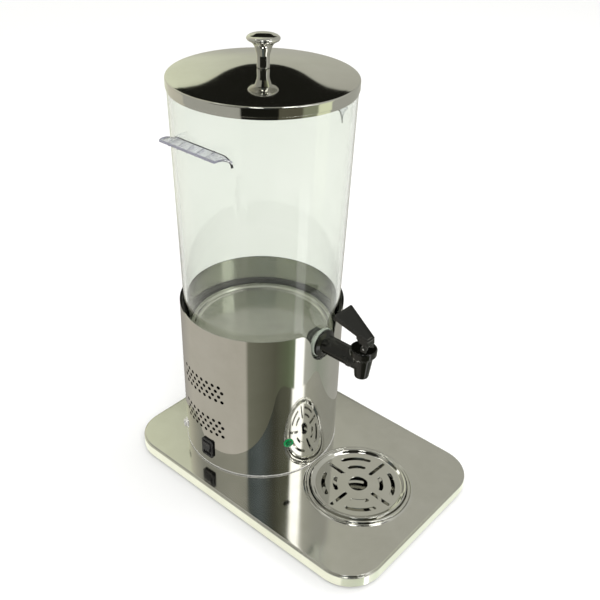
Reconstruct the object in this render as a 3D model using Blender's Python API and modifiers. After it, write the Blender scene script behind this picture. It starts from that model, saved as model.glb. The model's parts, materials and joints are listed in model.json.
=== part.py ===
"""Chilled drinks dispenser: steel base, cooling tower, clear container with tap, lid.

Every length is in millimetres and is scaled to metres by the helpers. +Z is up, the tap
points along -Y, and the origin is on the floor under the middle of the base.
"""
from math import cos, pi, radians, sin

import bmesh
import bpy
from mathutils import Euler, Matrix, Vector

MM = 0.001
GAP = 0.3

# Base
BASE_WIDTH = 259.0
BASE_LENGTH = 383.4
BASE_CORNER = 45.3
BASE_TOP = 20.0
BASE_LOW = 3.8
SHOULDER_INSET = 1.8
SHOULDER_DROP = 2.0
SHEET = 1.0
FOOT_RADIUS = 11.0
FOOT_X = 96.0
FOOT_Y = 158.0

# Tower and its housing
TOWER_Y = 71.2
HOUSING_RADIUS = 100.0
HOUSING_SHEET = 0.9
HOUSING_TOP = 228.8
HOUSING_SCREW_RADIUS = 86.0
VENT_RADIUS = 2.9
VENT_COLUMNS = 8
VENT_PITCH_DEG = 5.2
VENT_START_DEG = 192.1
VENT_STAGGER_DEG = 2.6
VENT_ROW = 7.0
VENT_BANDS = (141.9, 87.0)
SWITCH_Y = -1.5
SWITCH_Z = 47.2
LAMP_AZIMUTH = -117.3
LAMP_Z = 73.5
INLET_AZIMUTH = 149.0
INLET_Z = 48.0

# Cooling stack inside the tower
DECK_Z = 176.0
DECK_SHEET = 1.2
COLD_RADIUS = 58.0
COLD_TOP = 186.7
SINK_WIDTH = 76.0
SINK_LENGTH = 100.0
SINK_LOW = 138.0
SINK_BASE = 168.0
SINK_TOP = 174.2
FAN_SIZE = 92.0
FAN_LOW = 112.0
FAN_HIGH = 137.4
FAN_HOLE = 41.25

# Drip cup and grille
DRIP_Y = -95.2
CUP_RADIUS = 65.7
CUP_HOLE = 61.6
GRILLE_TOP = 21.6
GRILLE_LOW = 20.6
GRILLE_TURN_DEG = -3.6

# Container, pan and tap
TUBE_LOW = 180.0
TUBE_TOP = 496.9
TUBE_LOW_RADIUS = 94.3
TUBE_TOP_RADIUS = 100.5
TUBE_WALL = 4.0
PAN_FLOOR = 188.0
PAN_LEDGE = 192.5
HANDLE_TOP = 452.0
HANDLE_REACH = 112.0
HANDLE_HALF = 44.0
TAP_Z = 206.0
SPOUT_Y = -156.3
SPOUT_LOW = 188.0
BONNET_LOW = 219.3
BONNET_TOP = 227.5
PIVOT_Y = -161.0
PIVOT_Z = 231.2

# Lid
LID_RADIUS = 101.7
LID_LOW = 486.9
LID_EDGE = 499.2
LID_PEAK = 506.6
KNOB_TOP = 540.8

FACING_FRONT = (90, 0, 0)
FACING_SIDE = (90, 0, 90)


# ---------------------------------------------------------------- helpers

def clear_scene():
    for obj in list(bpy.data.objects):
        bpy.data.objects.remove(obj, do_unlink=True)


def collection(name):
    made = bpy.data.collections.new(name)
    bpy.context.scene.collection.children.link(made)
    return made


def material(name, color, roughness, metallic=0.0, alpha=1.0):
    made = bpy.data.materials.new(name)
    made.use_nodes = True
    shader = made.node_tree.nodes["Principled BSDF"]
    shader.inputs["Base Color"].default_value = (*color, 1.0)
    shader.inputs["Roughness"].default_value = roughness
    shader.inputs["Metallic"].default_value = metallic
    shader.inputs["Alpha"].default_value = alpha
    made.diffuse_color = (*color, alpha)
    return made


def empty(name, at):
    made = bpy.data.objects.new(name, None)
    made.location = Vector(at) * MM
    PARTS.objects.link(made)
    return made


def add(name, mesh, mat, parent=None, at=(0, 0, 0), turn=(0, 0, 0)):
    """Put a mesh in the scene: a part when it has a material, a cutter when it has none."""
    obj = bpy.data.objects.new(name, mesh)
    obj.parent = parent
    obj.location = Vector(at) * MM
    obj.rotation_euler = [radians(angle) for angle in turn]
    if mat is None:
        CUTTERS.objects.link(obj)
        obj.hide_render = True
        obj.display_type = "WIRE"
        return obj
    PARTS.objects.link(obj)
    mesh.materials.append(mat)
    return obj


def smooth(obj, angle=35):
    obj.data.shade_smooth()
    obj.data.set_sharp_from_angle(angle=radians(angle))
    return obj


def turned(name, profile, mat, parent=None, at=(0, 0, 0), turn=(0, 0, 0), steps=48):
    """Spin a loop of (radius, height) about local Z: down its outer side, up its inner."""
    mesh = bpy.data.meshes.new(name)
    count = len(profile)
    links = [(i, (i + 1) % count) for i in range(count)]
    edges = [(a, b) for a, b in links if profile[a][0] > 0 or profile[b][0] > 0]
    mesh.from_pydata([(r * MM, 0, z * MM) for r, z in profile], edges, [])
    obj = add(name, mesh, mat, parent, at, turn)
    screw = obj.modifiers.new("Spin", "SCREW")
    screw.steps = steps
    screw.render_steps = steps
    screw.use_merge_vertices = True
    screw.merge_threshold = 0.00001
    screw.use_smooth_shade = True
    return obj


def prism(name, outline, low, high, mat, parent=None, at=(0, 0, 0), turn=(0, 0, 0), holes=()):
    """Extrude a flat outline, with holes, from low to high along local Z."""
    curve = bpy.data.curves.new(name, "CURVE")
    curve.dimensions = "2D"
    curve.fill_mode = "BOTH"
    curve.extrude = (high - low) / 2 * MM
    for loop in (outline, *holes):
        spline = curve.splines.new("POLY")
        spline.points.add(len(loop) - 1)
        for point, (x, y) in zip(spline.points, loop):
            point.co = (x * MM, y * MM, 0, 1)
        spline.use_cyclic_u = True
    mesh = curve_mesh(curve)
    mesh.transform(Matrix.Translation((0, 0, (low + high) / 2 * MM)))
    return add(name, mesh, mat, parent, at, turn)


def curve_mesh(curve):
    """The welded mesh that a curve makes."""
    source = bpy.data.objects.new("outline", curve)
    bpy.context.scene.collection.objects.link(source)
    graph = bpy.context.evaluated_depsgraph_get()
    mesh = bpy.data.meshes.new_from_object(source.evaluated_get(graph))
    bpy.data.objects.remove(source)
    bm = bmesh.new()
    bm.from_mesh(mesh)
    bmesh.ops.remove_doubles(bm, verts=bm.verts, dist=0.00001)
    bmesh.ops.dissolve_limit(bm, angle_limit=0.01, verts=bm.verts, edges=bm.edges)
    bmesh.ops.recalc_face_normals(bm, faces=bm.faces)
    bm.to_mesh(mesh)
    bm.free()
    mesh.materials.clear()
    return mesh


def box(name, low, high, mat, parent=None, at=(0, 0, 0), turn=(0, 0, 0)):
    bm = bmesh.new()
    bmesh.ops.create_cube(bm, size=1.0)
    size = (Vector(high) - Vector(low)) * MM
    middle = (Vector(high) + Vector(low)) / 2 * MM
    bmesh.ops.scale(bm, vec=size, verts=bm.verts)
    bmesh.ops.translate(bm, vec=middle, verts=bm.verts)
    mesh = bpy.data.meshes.new(name)
    bm.to_mesh(mesh)
    bm.free()
    return add(name, mesh, mat, parent, at, turn)


def rod(name, radius, low, high, mat, parent=None, at=(0, 0, 0), turn=(0, 0, 0), sides=24):
    """A cylinder from low to high along local Z."""
    bm = bmesh.new()
    shift = Matrix.Translation((0, 0, (low + high) / 2 * MM))
    bmesh.ops.create_cone(bm, cap_ends=True, segments=sides, radius1=radius * MM,
                          radius2=radius * MM, depth=(high - low) * MM, matrix=shift)
    mesh = bpy.data.meshes.new(name)
    bm.to_mesh(mesh)
    bm.free()
    return smooth(add(name, mesh, mat, parent, at, turn))


def wire(name, points, radius, mat):
    """A round lead along a smooth curve through the points, in the object's frame."""
    curve = bpy.data.curves.new(name, "CURVE")
    curve.dimensions = "3D"
    curve.bevel_depth = radius * MM
    curve.bevel_resolution = 1
    curve.use_fill_caps = True
    route = smooth_route([Vector(point) for point in points], 3)
    spline = curve.splines.new("POLY")
    spline.points.add(len(route) - 1)
    for point, place in zip(spline.points, route):
        point.co = (*(place * MM), 1)
    return smooth(add(name, curve_mesh(curve), mat))


def smooth_route(points, per_span):
    """Catmull-Rom points through a list of points."""
    ends = [2 * points[0] - points[1], *points, 2 * points[-1] - points[-2]]
    route = []
    for a, b, c, d in zip(ends, ends[1:], ends[2:], ends[3:]):
        for step in range(per_span):
            t = step / per_span
            route.append(0.5 * (2 * b + (c - a) * t + (2 * a - 5 * b + 4 * c - d) * t ** 2
                                + (3 * b - a - 3 * c + d) * t ** 3))
    route.append(points[-1])
    return route


def boolean(obj, other, operation):
    step = obj.modifiers.new(other.name, "BOOLEAN")
    step.operation = operation
    step.object = other
    step.solver = "EXACT"


def cut(obj, *cutters):
    for cutter in cutters:
        boolean(obj, cutter, "DIFFERENCE")
    return obj


def join(obj, *pieces):
    for piece in pieces:
        boolean(obj, piece, "UNION")
    return obj


def arc(radius, start, end, steps, center=(0, 0)):
    """Points on a circle from start to end degrees, both included."""
    angles = [radians(start + (end - start) * i / steps) for i in range(steps + 1)]
    return [(center[0] + radius * cos(a), center[1] + radius * sin(a)) for a in angles]


def circle(radius, steps, center=(0, 0)):
    return arc(radius, 0, 360, steps, center)[:-1]


def rounded(width, length, corner, steps=6, center=(0, 0)):
    """A rectangle with round corners, counter-clockwise from +X."""
    points = []
    for i, (sx, sy) in enumerate(((1, 1), (-1, 1), (-1, -1), (1, -1))):
        middle = (center[0] + sx * (width / 2 - corner), center[1] + sy * (length / 2 - corner))
        points += arc(corner, 90 * i, 90 * (i + 1), steps, middle)
    return points


def base_outline(inset):
    return rounded(BASE_WIDTH - 2 * inset, BASE_LENGTH - 2 * inset, BASE_CORNER - inset)


def tube_radius(height):
    """Outer radius of the tapered container at a height."""
    share = (height - TUBE_LOW) / (TUBE_TOP - TUBE_LOW)
    return TUBE_LOW_RADIUS + (TUBE_TOP_RADIUS - TUBE_LOW_RADIUS) * share


# ---------------------------------------------------------------- base

def screw_places():
    """The four screws that hold the housing, at the diagonals of the tower."""
    return [(HOUSING_SCREW_RADIUS * cos(radians(a)), HOUSING_SCREW_RADIUS * sin(radians(a)))
            for a in (45, 135, 225, 315)]


def base_tray():
    tray = prism("base_tray", base_outline(0), BASE_LOW, BASE_TOP - SHOULDER_DROP, STEEL)
    top = prism("tray_top", base_outline(SHOULDER_INSET), BASE_LOW + 4, BASE_TOP, None)
    join(tray, top)
    low_hollow = prism("tray_hollow", base_outline(SHEET), 0, BASE_TOP - SHOULDER_DROP - SHEET, None)
    high_inset = SHOULDER_INSET + SHEET
    high_hollow = prism("tray_top_hollow", base_outline(high_inset), 0, BASE_TOP - SHEET, None)
    hole = rod("cup_hole", CUP_HOLE, 10, 30, None, at=(0, DRIP_Y, 0), sides=40)
    cut(tray, low_hollow, high_hollow, hole)
    for i, (x, y) in enumerate(screw_places()):
        cut(tray, rod(f"tray_screw_hole_{i}", 2.5, 10, 30, None, TOWER, (x, y, 0), sides=12))
    return tray


def base_bottom():
    inset = SHEET + 0.4
    prism("base_bottom_plate", base_outline(inset), BASE_LOW + 0.5, BASE_LOW + 2.0, DARK_SHEET)


def feet():
    profile = [(0, BASE_LOW + 0.2), (FOOT_RADIUS, BASE_LOW + 0.2), (FOOT_RADIUS, 0.8),
               (FOOT_RADIUS - 0.8, 0), (3.5, 0), (3.5, 1.4), (0, 1.4)]
    places = [(x, y) for y in (-FOOT_Y, FOOT_Y) for x in (-FOOT_X, FOOT_X)]
    for i, (x, y) in enumerate(places):
        turned(f"foot_{i + 1}", profile, RUBBER, at=(x, y, 0), steps=16)


def drip_cup():
    """Round cup hung in the base by its beaded rim."""
    outer = [(CUP_RADIUS, 20.4), (61.1, 20.4), (60.9, 19.4), (54.6, 19.4), (54.6, 9.6),
             (52.6, 7.4), (0, 7.4)]
    inner = [(0, 8.2), (52.2, 8.2), (53.8, 9.9), (53.8, 20.2), (60.6, 20.3), (62.4, 22.6),
             (64.6, 22.5), (CUP_RADIUS, 21.2)]
    turned("drip_cup", outer + inner, STEEL, DRIP, steps=40)


def grille_slots():
    """Centre hole, four radial slots, and an inner and an outer arc slot in each quarter."""
    half = 2.25
    loops = [circle(11.8, 14)]
    for quarter in range(4):
        spoke = 90 * quarter + 90 + GRILLE_TURN_DEG
        ray = arc(half, 90, 270, 2, (24.2, 0)) + arc(half, -90, 90, 2, (48.4, 0))
        loops.append(turned_points(ray, spoke))
        for radius, sweep in ((29.3, 18.0), (44.0, 22.5)):
            loops.append(turned_points(arc_slot(radius, half, sweep), spoke - 45))
    return loops


def arc_slot(radius, half, sweep):
    """A slot along a circle, round at its ends, centred on +X."""
    end = (radius * cos(radians(sweep)), radius * sin(radians(sweep)))
    start = (end[0], -end[1])
    outer = arc(radius + half, -sweep, sweep, 4)
    inner = arc(radius - half, sweep, -sweep, 4)
    far_end = arc(half, sweep, sweep + 180, 2, end)[1:-1]
    near_end = arc(half, 180 - sweep, 360 - sweep, 2, start)[1:-1]
    return outer + far_end + inner + near_end


def turned_points(points, angle):
    c = cos(radians(angle))
    s = sin(radians(angle))
    return [(x * c - y * s, x * s + y * c) for x, y in points]


def drip_grille():
    disc = prism("drip_grille", circle(53.4, 40), GRILLE_LOW, GRILLE_TOP, STEEL, DRIP,
                 holes=grille_slots())
    rim = [(60.4, 23.8), (59.8, 22.8), (54.4, GRILLE_LOW + 0.1), (52.4, GRILLE_LOW + 0.1),
           (52.4, GRILLE_TOP - 0.1), (54.0, GRILLE_TOP), (57.6, 24.4), (59.4, 24.8)]
    join(disc, turned("grille_rim", rim, None, DRIP, steps=40))


# ---------------------------------------------------------------- tower

def notch_outline():
    """U shape, flared at the rim, that the tap drops into: across by up."""
    low = arc(21.0, 180, 360, 12, (0, HOUSING_TOP - 23.8))
    flare = [(21.3, -20.8), (22.2, -15.8), (24.0, -11.0), (26.6, -6.6), (29.4, -3.2),
             (32.4, -1.0), (35.4, 0.1), (35.4, 6.0)]
    right = [(x, HOUSING_TOP + z) for x, z in flare]
    left = [(-x, z) for x, z in reversed(right)]
    return low + right + left


def vent_cutter():
    """All vent holes: two bands of four staggered rows on each side, in one mesh."""
    bm = bmesh.new()
    for side in (1, -1):
        for band in VENT_BANDS:
            for row in range(4):
                for column in range(VENT_COLUMNS):
                    azimuth = VENT_START_DEG - VENT_PITCH_DEG * column
                    azimuth += VENT_STAGGER_DEG if row % 2 else 0
                    azimuth = azimuth if side > 0 else 180 - azimuth
                    spin = Euler((0, radians(90), radians(azimuth))).to_matrix().to_4x4()
                    lift = Matrix.Translation((0, 0, (band - VENT_ROW * (row - 1.5)) * MM))
                    out = Matrix.Translation((0, 0, HOUSING_RADIUS * MM))
                    bmesh.ops.create_cone(bm, cap_ends=True, segments=4,
                                          radius1=VENT_RADIUS * MM, radius2=VENT_RADIUS * MM,
                                          depth=6 * MM, matrix=lift @ spin @ out)
    mesh = bpy.data.meshes.new("vents")
    bm.to_mesh(mesh)
    bm.free()
    return add("vents", mesh, None, TOWER)


def housing_shell():
    inner = HOUSING_RADIUS - HOUSING_SHEET
    low = BASE_TOP + GAP
    wall = [(HOUSING_RADIUS, HOUSING_TOP), (HOUSING_RADIUS, low), (inner, low), (inner, HOUSING_TOP)]
    shell = turned("housing_shell", wall, STEEL, TOWER, steps=48)
    notch = prism("notch", notch_outline(), 80, 120, None, TOWER, turn=FACING_FRONT)
    window = box("switch_window", (-110, -7.4, -11.4), (-90, 7.4, 11.4), None, TOWER,
                 (0, SWITCH_Y, SWITCH_Z))
    lamp_hole = rod("lamp_hole", 4.8, 90, 110, None, TOWER, (0, 0, LAMP_Z), (0, 90, LAMP_AZIMUTH), 12)
    inlet_hole = rod("inlet_hole", 5.4, 90, 110, None, TOWER, (0, 0, INLET_Z),
                     (0, 90, INLET_AZIMUTH), 16)
    cut(shell, notch, window, lamp_hole, inlet_hole, vent_cutter())


def housing_foot_ring():
    """Angle ring inside the housing's foot, which the screws pull down on the base."""
    outer = HOUSING_RADIUS - HOUSING_SHEET - GAP
    low = BASE_TOP + GAP
    wall = [(outer, low + 12), (outer, low), (80, low), (80, low + 1.2), (outer - 1.2, low + 1.2),
            (outer - 1.2, low + 12)]
    ring = turned("housing_foot_ring", wall, DARK_SHEET, TOWER, steps=32)
    for i, (x, y) in enumerate(screw_places()):
        cut(ring, rod(f"ring_screw_hole_{i}", 2.3, 10, 30, None, TOWER, (x, y, 0), sides=12))


def housing_screws():
    """Pan-head screws put in from under the base."""
    head = BASE_TOP - SHEET - GAP
    profile = [(0, BASE_TOP + 5), (1.9, BASE_TOP + 5), (1.9, head), (3.9, head), (3.9, head - 1.4),
               (2.6, head - 2.6), (0, head - 2.6)]
    for i, (x, y) in enumerate(screw_places()):
        turned(f"housing_screw_{i + 1}", profile, ZINC, TOWER, (x, y, 0), steps=12)


def chamfered(width, height, cut_off):
    w = width / 2
    h = height / 2
    return [(w, h - cut_off), (w - cut_off, h), (cut_off - w, h), (-w, h - cut_off),
            (-w, cut_off - h), (cut_off - w, -h), (w - cut_off, -h), (w, cut_off - h)]


def switch():
    """Rocker switch set in the left wall of the housing, facing -X."""
    window = [(6.5, 10.5), (-6.5, 10.5), (-6.5, -10.5), (6.5, -10.5)]
    sleeve = [(7.1, 11.1), (-7.1, 11.1), (-7.1, -11.1), (7.1, -11.1)]
    front = HOUSING_RADIUS + GAP
    frame = prism("switch_frame", chamfered(19, 27, 2.2), -front - 2.2, -front, BLACK, TOWER,
                  (0, SWITCH_Y, SWITCH_Z), FACING_SIDE, holes=[window])
    case = prism("switch_case", sleeve, -front - 1.0, -80, None, TOWER, (0, SWITCH_Y, SWITCH_Z),
                 FACING_SIDE)
    pocket = prism("switch_pocket", window, -front - 5, -88, None, TOWER, (0, SWITCH_Y, SWITCH_Z),
                   FACING_SIDE)
    join(frame, case)
    cut(frame, pocket)
    face = [(-5.2, 9.2), (-8.6, 0.4), (-5.2, -9.2), (1.0, -9.2), (4.6, -4.5), (4.6, 4.5), (1.0, 9.2)]
    tilted = turned_points(face, 7)
    rocker = prism("switch_rocker", tilted, -6.1, 6.1, GLOSS_BLACK, ROCKER_AXIS, turn=FACING_FRONT)
    terminals = box("switch_terminals", (-79.7, -5, -9), (-78.3, 5, 9), BRASS, TOWER,
                    (0, SWITCH_Y, SWITCH_Z))
    for i, z in enumerate((-6, 6)):
        blade = box(f"switch_blade_{i}", (-79, -2.4, z - 0.4), (-71, 2.4, z + 0.4), None, TOWER,
                    (0, SWITCH_Y, SWITCH_Z))
        join(terminals, blade)
    return rocker


def pilot_lamp():
    """Green lamp set radially in the front left of the housing."""
    front = HOUSING_RADIUS + GAP + 0.1
    lens = [(0, front + 3.4), (2.6, front + 3.2), (4.0, front + 2.4), (4.5, front + 1.6),
            (5.4, front + 2.2), (6.4, front + 1.4), (6.4, front), (4.4, front), (4.4, 94), (0, 94)]
    turned("lamp_lens", lens, GREEN, TOWER, (0, 0, LAMP_Z), (0, 90, LAMP_AZIMUTH), 16)
    body = [(0, 93.7), (4.2, 93.7), (4.2, 84), (1.2, 83), (1.2, 78), (0, 78)]
    turned("lamp_body", body, BLACK, TOWER, (0, 0, LAMP_Z), (0, 90, LAMP_AZIMUTH), 12)


def power_inlet():
    """Round low-voltage socket at the rear left, with its nut inside the housing."""
    front = HOUSING_RADIUS + GAP + 0.2
    socket = [(5.0, front + 5), (5.0, front + 1.8), (7.4, front + 1.8), (7.4, front), (5.0, front),
              (5.0, 90), (0, 90), (0, 95), (3.4, 95), (3.4, front + 5)]
    place = (0, 0, INLET_Z)
    aim = (0, 90, INLET_AZIMUTH)
    turned("inlet_socket", socket, NICKEL, TOWER, place, aim, 16)
    rod("inlet_pin", 1.1, 95.3, front + 3.4, BRASS, TOWER, place, aim, 12)
    nut = prism("inlet_nut", circle(8.4, 6), 95.4, 98.0, NICKEL, TOWER, place, aim)
    cut(nut, rod("inlet_nut_bore", 5.3, 90, 110, None, TOWER, place, aim, 20))


def deck():
    """Shelf inside the housing, with the rubber ring that the container stands on."""
    outer = HOUSING_RADIUS - HOUSING_SHEET - GAP
    top = DECK_Z + DECK_SHEET
    shelf = [(outer, top), (outer, DECK_Z - 10), (outer - 1.2, DECK_Z - 10), (outer - 1.2, DECK_Z),
             (50, DECK_Z), (50, top)]
    plate = turned("deck_plate", shelf, DARK_SHEET, TOWER, steps=32)
    for i, (x, y) in enumerate(fan_screw_places()):
        cut(plate, rod(f"deck_hole_{i}", 2.1, 170, 180, None, TOWER, (x, y, 0), sides=10))
    low = top + GAP
    seat = [(96.0, TUBE_LOW - GAP), (96.0, low), (89.5, low), (89.5, TUBE_LOW - GAP)]
    turned("container_seat_ring", seat, RUBBER, TOWER, steps=32)
    foam = [(88.0, COLD_TOP - 0.2), (88.0, low), (COLD_RADIUS + 0.6, low),
            (COLD_RADIUS + 0.6, COLD_TOP - 0.2)]
    turned("insulation_ring", foam, FOAM, TOWER, steps=32)


def fan_screw_places():
    return [(x, y) for y in (-FAN_HOLE, FAN_HOLE) for x in (-FAN_HOLE, FAN_HOLE)]


def cooling_stack():
    """Cold plate, thermoelectric module and finned heat sink."""
    rod("cold_plate", COLD_RADIUS, DECK_Z + DECK_SHEET + 1.5, COLD_TOP, ALUMINIUM, TOWER, sides=32)
    module_low = SINK_TOP + GAP
    box("cooling_module", (-20, -20, module_low), (20, 20, DECK_Z + DECK_SHEET + 1.2), CERAMIC, TOWER)
    rod("temperature_sensor", 1.6, -44, -26, BLACK, TOWER, (0, 0, SINK_TOP + 2.2), (0, 90, 0), 12)
    half = SINK_WIDTH / 2
    gaps = 10
    fin = 1.6
    pitch = (SINK_WIDTH - fin) / gaps
    comb = [(half, SINK_LOW), (half, SINK_TOP), (-half, SINK_TOP), (-half, SINK_LOW)]
    for i in range(gaps):
        left = pitch * i + fin - half
        right = pitch * (i + 1) - half
        comb += [(left, SINK_LOW), (left, SINK_BASE), (right, SINK_BASE), (right, SINK_LOW)]
    prism("heat_sink", comb, -SINK_LENGTH / 2, SINK_LENGTH / 2, ALUMINIUM, TOWER, turn=FACING_FRONT)


def fan():
    """Square fan under the heat sink, held by four long screws up to the deck."""
    half = FAN_SIZE / 2
    frame = box("fan_frame", (-half, -half, FAN_LOW), (half, half, FAN_HIGH), BLACK, TOWER)
    windows = [arc(43.0, a, a + 106, 7) + arc(17.0, a + 100, a + 6, 4) for a in (27, 147, 267)]
    for i, window in enumerate(windows):
        cut(frame, prism(f"fan_window_{i}", window, FAN_LOW - 5, FAN_LOW + 9, None, TOWER))
    cut(frame, rod("fan_bore", 43.5, FAN_LOW + 3, FAN_HIGH + 5, None, TOWER))
    for i, (x, y) in enumerate(fan_screw_places()):
        cut(frame, rod(f"fan_screw_hole_{i}", 2.2, FAN_LOW - 5, FAN_HIGH + 5, None, TOWER, (x, y, 0),
                       sides=8))
    low = FAN_LOW + 3.4
    rotor = rod("fan_rotor", 16.5, low, FAN_HIGH - 2, BLACK_BLADE, TOWER, sides=20)
    for i in range(7):
        blade = box(f"fan_blade_{i}", (14, -10, -0.8), (41, 10, 0.8), None, TOWER,
                    (0, 0, (low + FAN_HIGH - 2) / 2), (35, 0, 360 / 7 * i))
        join(rotor, blade)
    profile = [(0, DECK_Z + 1.0), (1.8, DECK_Z + 1.0), (1.8, FAN_LOW - GAP), (3.6, FAN_LOW - GAP),
               (3.6, FAN_LOW - 2.5), (0, FAN_LOW - 2.5)]
    for i, (x, y) in enumerate(fan_screw_places()):
        turned(f"fan_screw_{i + 1}", profile, ZINC, TOWER, (x, y, 0), steps=10)


def electronics():
    """Control board on a bracket on the base, with its large components."""
    low = BASE_TOP + GAP
    bracket = [(36, low), (36, low + 12), (-36, low + 12), (-36, low), (-34.8, low),
               (-34.8, low + 10.8), (34.8, low + 10.8), (34.8, low)]
    prism("board_bracket", bracket, -24, 24, ZINC, TOWER, (10, 8, 0), FACING_FRONT)
    board = low + 12 + GAP
    box("control_board", (-26, -32, board), (46, 16, board + 1.6), BOARD, TOWER)
    top = board + 1.6 + GAP
    box("power_module", (6, -26, top), (42, 10, top + 24), BLACK, TOWER)
    rod("capacitor", 6.5, top, top + 22, BLUE, TOWER, (-14, 2, 0), sides=16)


def wires():
    """Leads inside the tower, in its own frame moved to the tower's place."""
    def at_tower(points):
        return [(x, y + TOWER_Y, z) for x, y, z in points]
    wire("wire_power", at_tower([(-74, 47, 46), (-66, 42, 50), (-60, 28, 58), (-62, 10, 62),
                                 (-68, 1, 56), (-67.5, -1.5, 53.3)]), 1.5, RED)
    wire("wire_switch", at_tower([(-67.5, -1.5, 41), (-58, -4, 34), (-46, -8, 34), (-36, -12, 40),
                                  (-30, -16, 42), (-23, -18, 42)]), 1.5, RED)
    wire("wire_fan", at_tower([(30, 24, 36), (52, 40, 48), (60, 46, 80), (56, 40, 108),
                               (52, 30, 120), (47.5, 20, 124)]), 1.5, WHITE_LEAD)


# ---------------------------------------------------------------- container

def container():
    top = tube_radius(TUBE_TOP)
    low = tube_radius(TUBE_LOW)
    wall = [(top, TUBE_TOP), (low, TUBE_LOW), (low - TUBE_WALL, TUBE_LOW), (top - TUBE_WALL, TUBE_TOP)]
    tube = turned("container_tube", wall, CLEAR, TOWER, steps=48)
    cut(tube, rod("tap_hole", 8.6, 80, 110, None, TOWER, (0, 0, TAP_Z), FACING_FRONT))


def container_pan():
    """Steel floor pan, sealed inside the foot of the clear tube."""
    inside = tube_radius(TUBE_LOW) - TUBE_WALL
    rim = inside - 1.1
    outer = [(rim, PAN_LEDGE), (rim, 183.5), (rim - 0.9, 183.5), (rim - 0.9, PAN_LEDGE - 0.9),
             (84.4, PAN_LEDGE - 0.9), (81.4, PAN_FLOOR - 1), (0, PAN_FLOOR - 1)]
    inner = [(0, PAN_FLOOR), (81.0, PAN_FLOOR), (84.0, PAN_LEDGE)]
    turned("container_pan", outer + inner, STEEL, TOWER, steps=40)
    seal = [(inside - 0.3, 190.5), (inside - 0.3, 184.5), (rim + 0.3, 184.5), (rim + 0.3, 190.5)]
    turned("pan_seal", seal, SILICONE, TOWER, steps=40)


def handle(name, side):
    """Clear moulded hood with ribs under it, bonded to the tube wall."""
    reach = HANDLE_REACH
    half = HANDLE_HALF
    skin = 2.2
    top = [*arc(16, 0, 90, 4, (half - 16, -16)), *arc(16, 90, 180, 4, (16 - half, -16))]
    under = [*arc(16 - skin, 180, 90, 4, (16 - half, -16)), *arc(16 - skin, 90, 0, 4, (half - 16, -16))]
    near = (85, reach) if side > 0 else (-reach, -85)
    hood = prism(name, top + under, *near, CLEAR, TOWER, (0, 0, HANDLE_TOP), FACING_SIDE)
    for i in range(5):
        y = 13.0 * (i - 2)
        rib = box(f"{name}_rib_{i}", (near[0], y - 0.8, -skin - 3.2), (near[1], y + 0.8, -1), None,
                  TOWER, (0, 0, HANDLE_TOP))
        join(hood, rib)
    body = [(tube_radius(TUBE_TOP) + GAP, TUBE_TOP), (tube_radius(TUBE_LOW) + GAP, TUBE_LOW)]
    core = [(0, TUBE_TOP), *body, (0, TUBE_LOW)]
    cut(hood, turned(f"{name}_core", core, None, TOWER))


def tap_body():
    """Horizontal shank with a flange, and a tapered spout with the valve chamber."""
    spout = [(0, BONNET_LOW - GAP), (13.0, BONNET_LOW - GAP), (12.7, 216), (8.3, SPOUT_LOW + 1),
             (7.9, SPOUT_LOW), (0, SPOUT_LOW)]
    body = turned("tap_body", spout, BLACK_TAP, TAP, steps=24)
    depth = -SPOUT_Y
    shank = [(0, depth), (10.7, depth), (10.7, 101.5), (17.0, 101.5), (17.0, 98.5), (8.0, 98.5),
             (8.0, 79.0), (0, 79.0)]
    pipe = turned("tap_shank", shank, None, TOWER, (0, 0, TAP_Z), FACING_FRONT, 20)
    join(body, pipe)
    chamber = rod("tap_chamber", 9.4, 200, 230, None, TAP)
    outlet = rod("tap_outlet", 6.4, 180, 202, None, TAP)
    bore = rod("tap_bore", 5.6, 70, depth, None, TOWER, (0, 0, TAP_Z), FACING_FRONT)
    cut(body, chamber, outlet, bore)


def tap_fixing():
    """Gasket outside the tube wall, and a washer and nut inside it."""
    place = (0, 0, TAP_Z)
    gasket = turned("tap_gasket", [(19, 98.2), (19, 90), (8.4, 90), (8.4, 98.2)], SILICONE, TOWER,
                    place, FACING_FRONT, 24)
    inside = [(0, TUBE_TOP), (tube_radius(TUBE_TOP) + GAP, TUBE_TOP),
              (tube_radius(TUBE_LOW) + GAP, TUBE_LOW), (0, TUBE_LOW)]
    cut(gasket, turned("gasket_core", inside, None, TOWER))
    turned("tap_washer", [(13, 89.3), (13, 88.1), (8.4, 88.1), (8.4, 89.3)], ZINC, TOWER, place,
           FACING_FRONT, 20)
    nut = prism("tap_nut", circle(13.9, 6), 80, 87.8, BLACK_TAP, TOWER, place, FACING_FRONT)
    cut(nut, rod("tap_nut_bore", 8.4, 70, 95, None, TOWER, place, FACING_FRONT))


def tap_bonnet():
    """Screw cap on the spout, with two ears for the lever's pin."""
    cap = [(14.4, BONNET_TOP), (15.6, BONNET_TOP - 1.4), (15.4, BONNET_LOW), (9.0, BONNET_LOW),
           (9.0, BONNET_TOP - 4.5), (2.9, BONNET_TOP - 4.5), (2.9, BONNET_TOP)]
    bonnet = turned("tap_bonnet", cap, BLACK_TAP, TAP, steps=24)
    ear = [*arc(3.4, 0, 180, 6), (-3.4, -5.5), (3.4, -5.5)]
    hole = circle(1.5, 8)
    for side, low, high in ((-1, -8.4, -6.0), (1, 6.0, 8.4)):
        piece = prism(f"bonnet_ear_{side}", ear, low, high, None, LEVER_AXIS, turn=FACING_SIDE,
                      holes=[hole])
        join(bonnet, piece)
    rod("lever_pin", 1.2, -8.2, 8.2, ZINC, LEVER_AXIS, turn=FACING_SIDE, sides=12)


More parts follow.
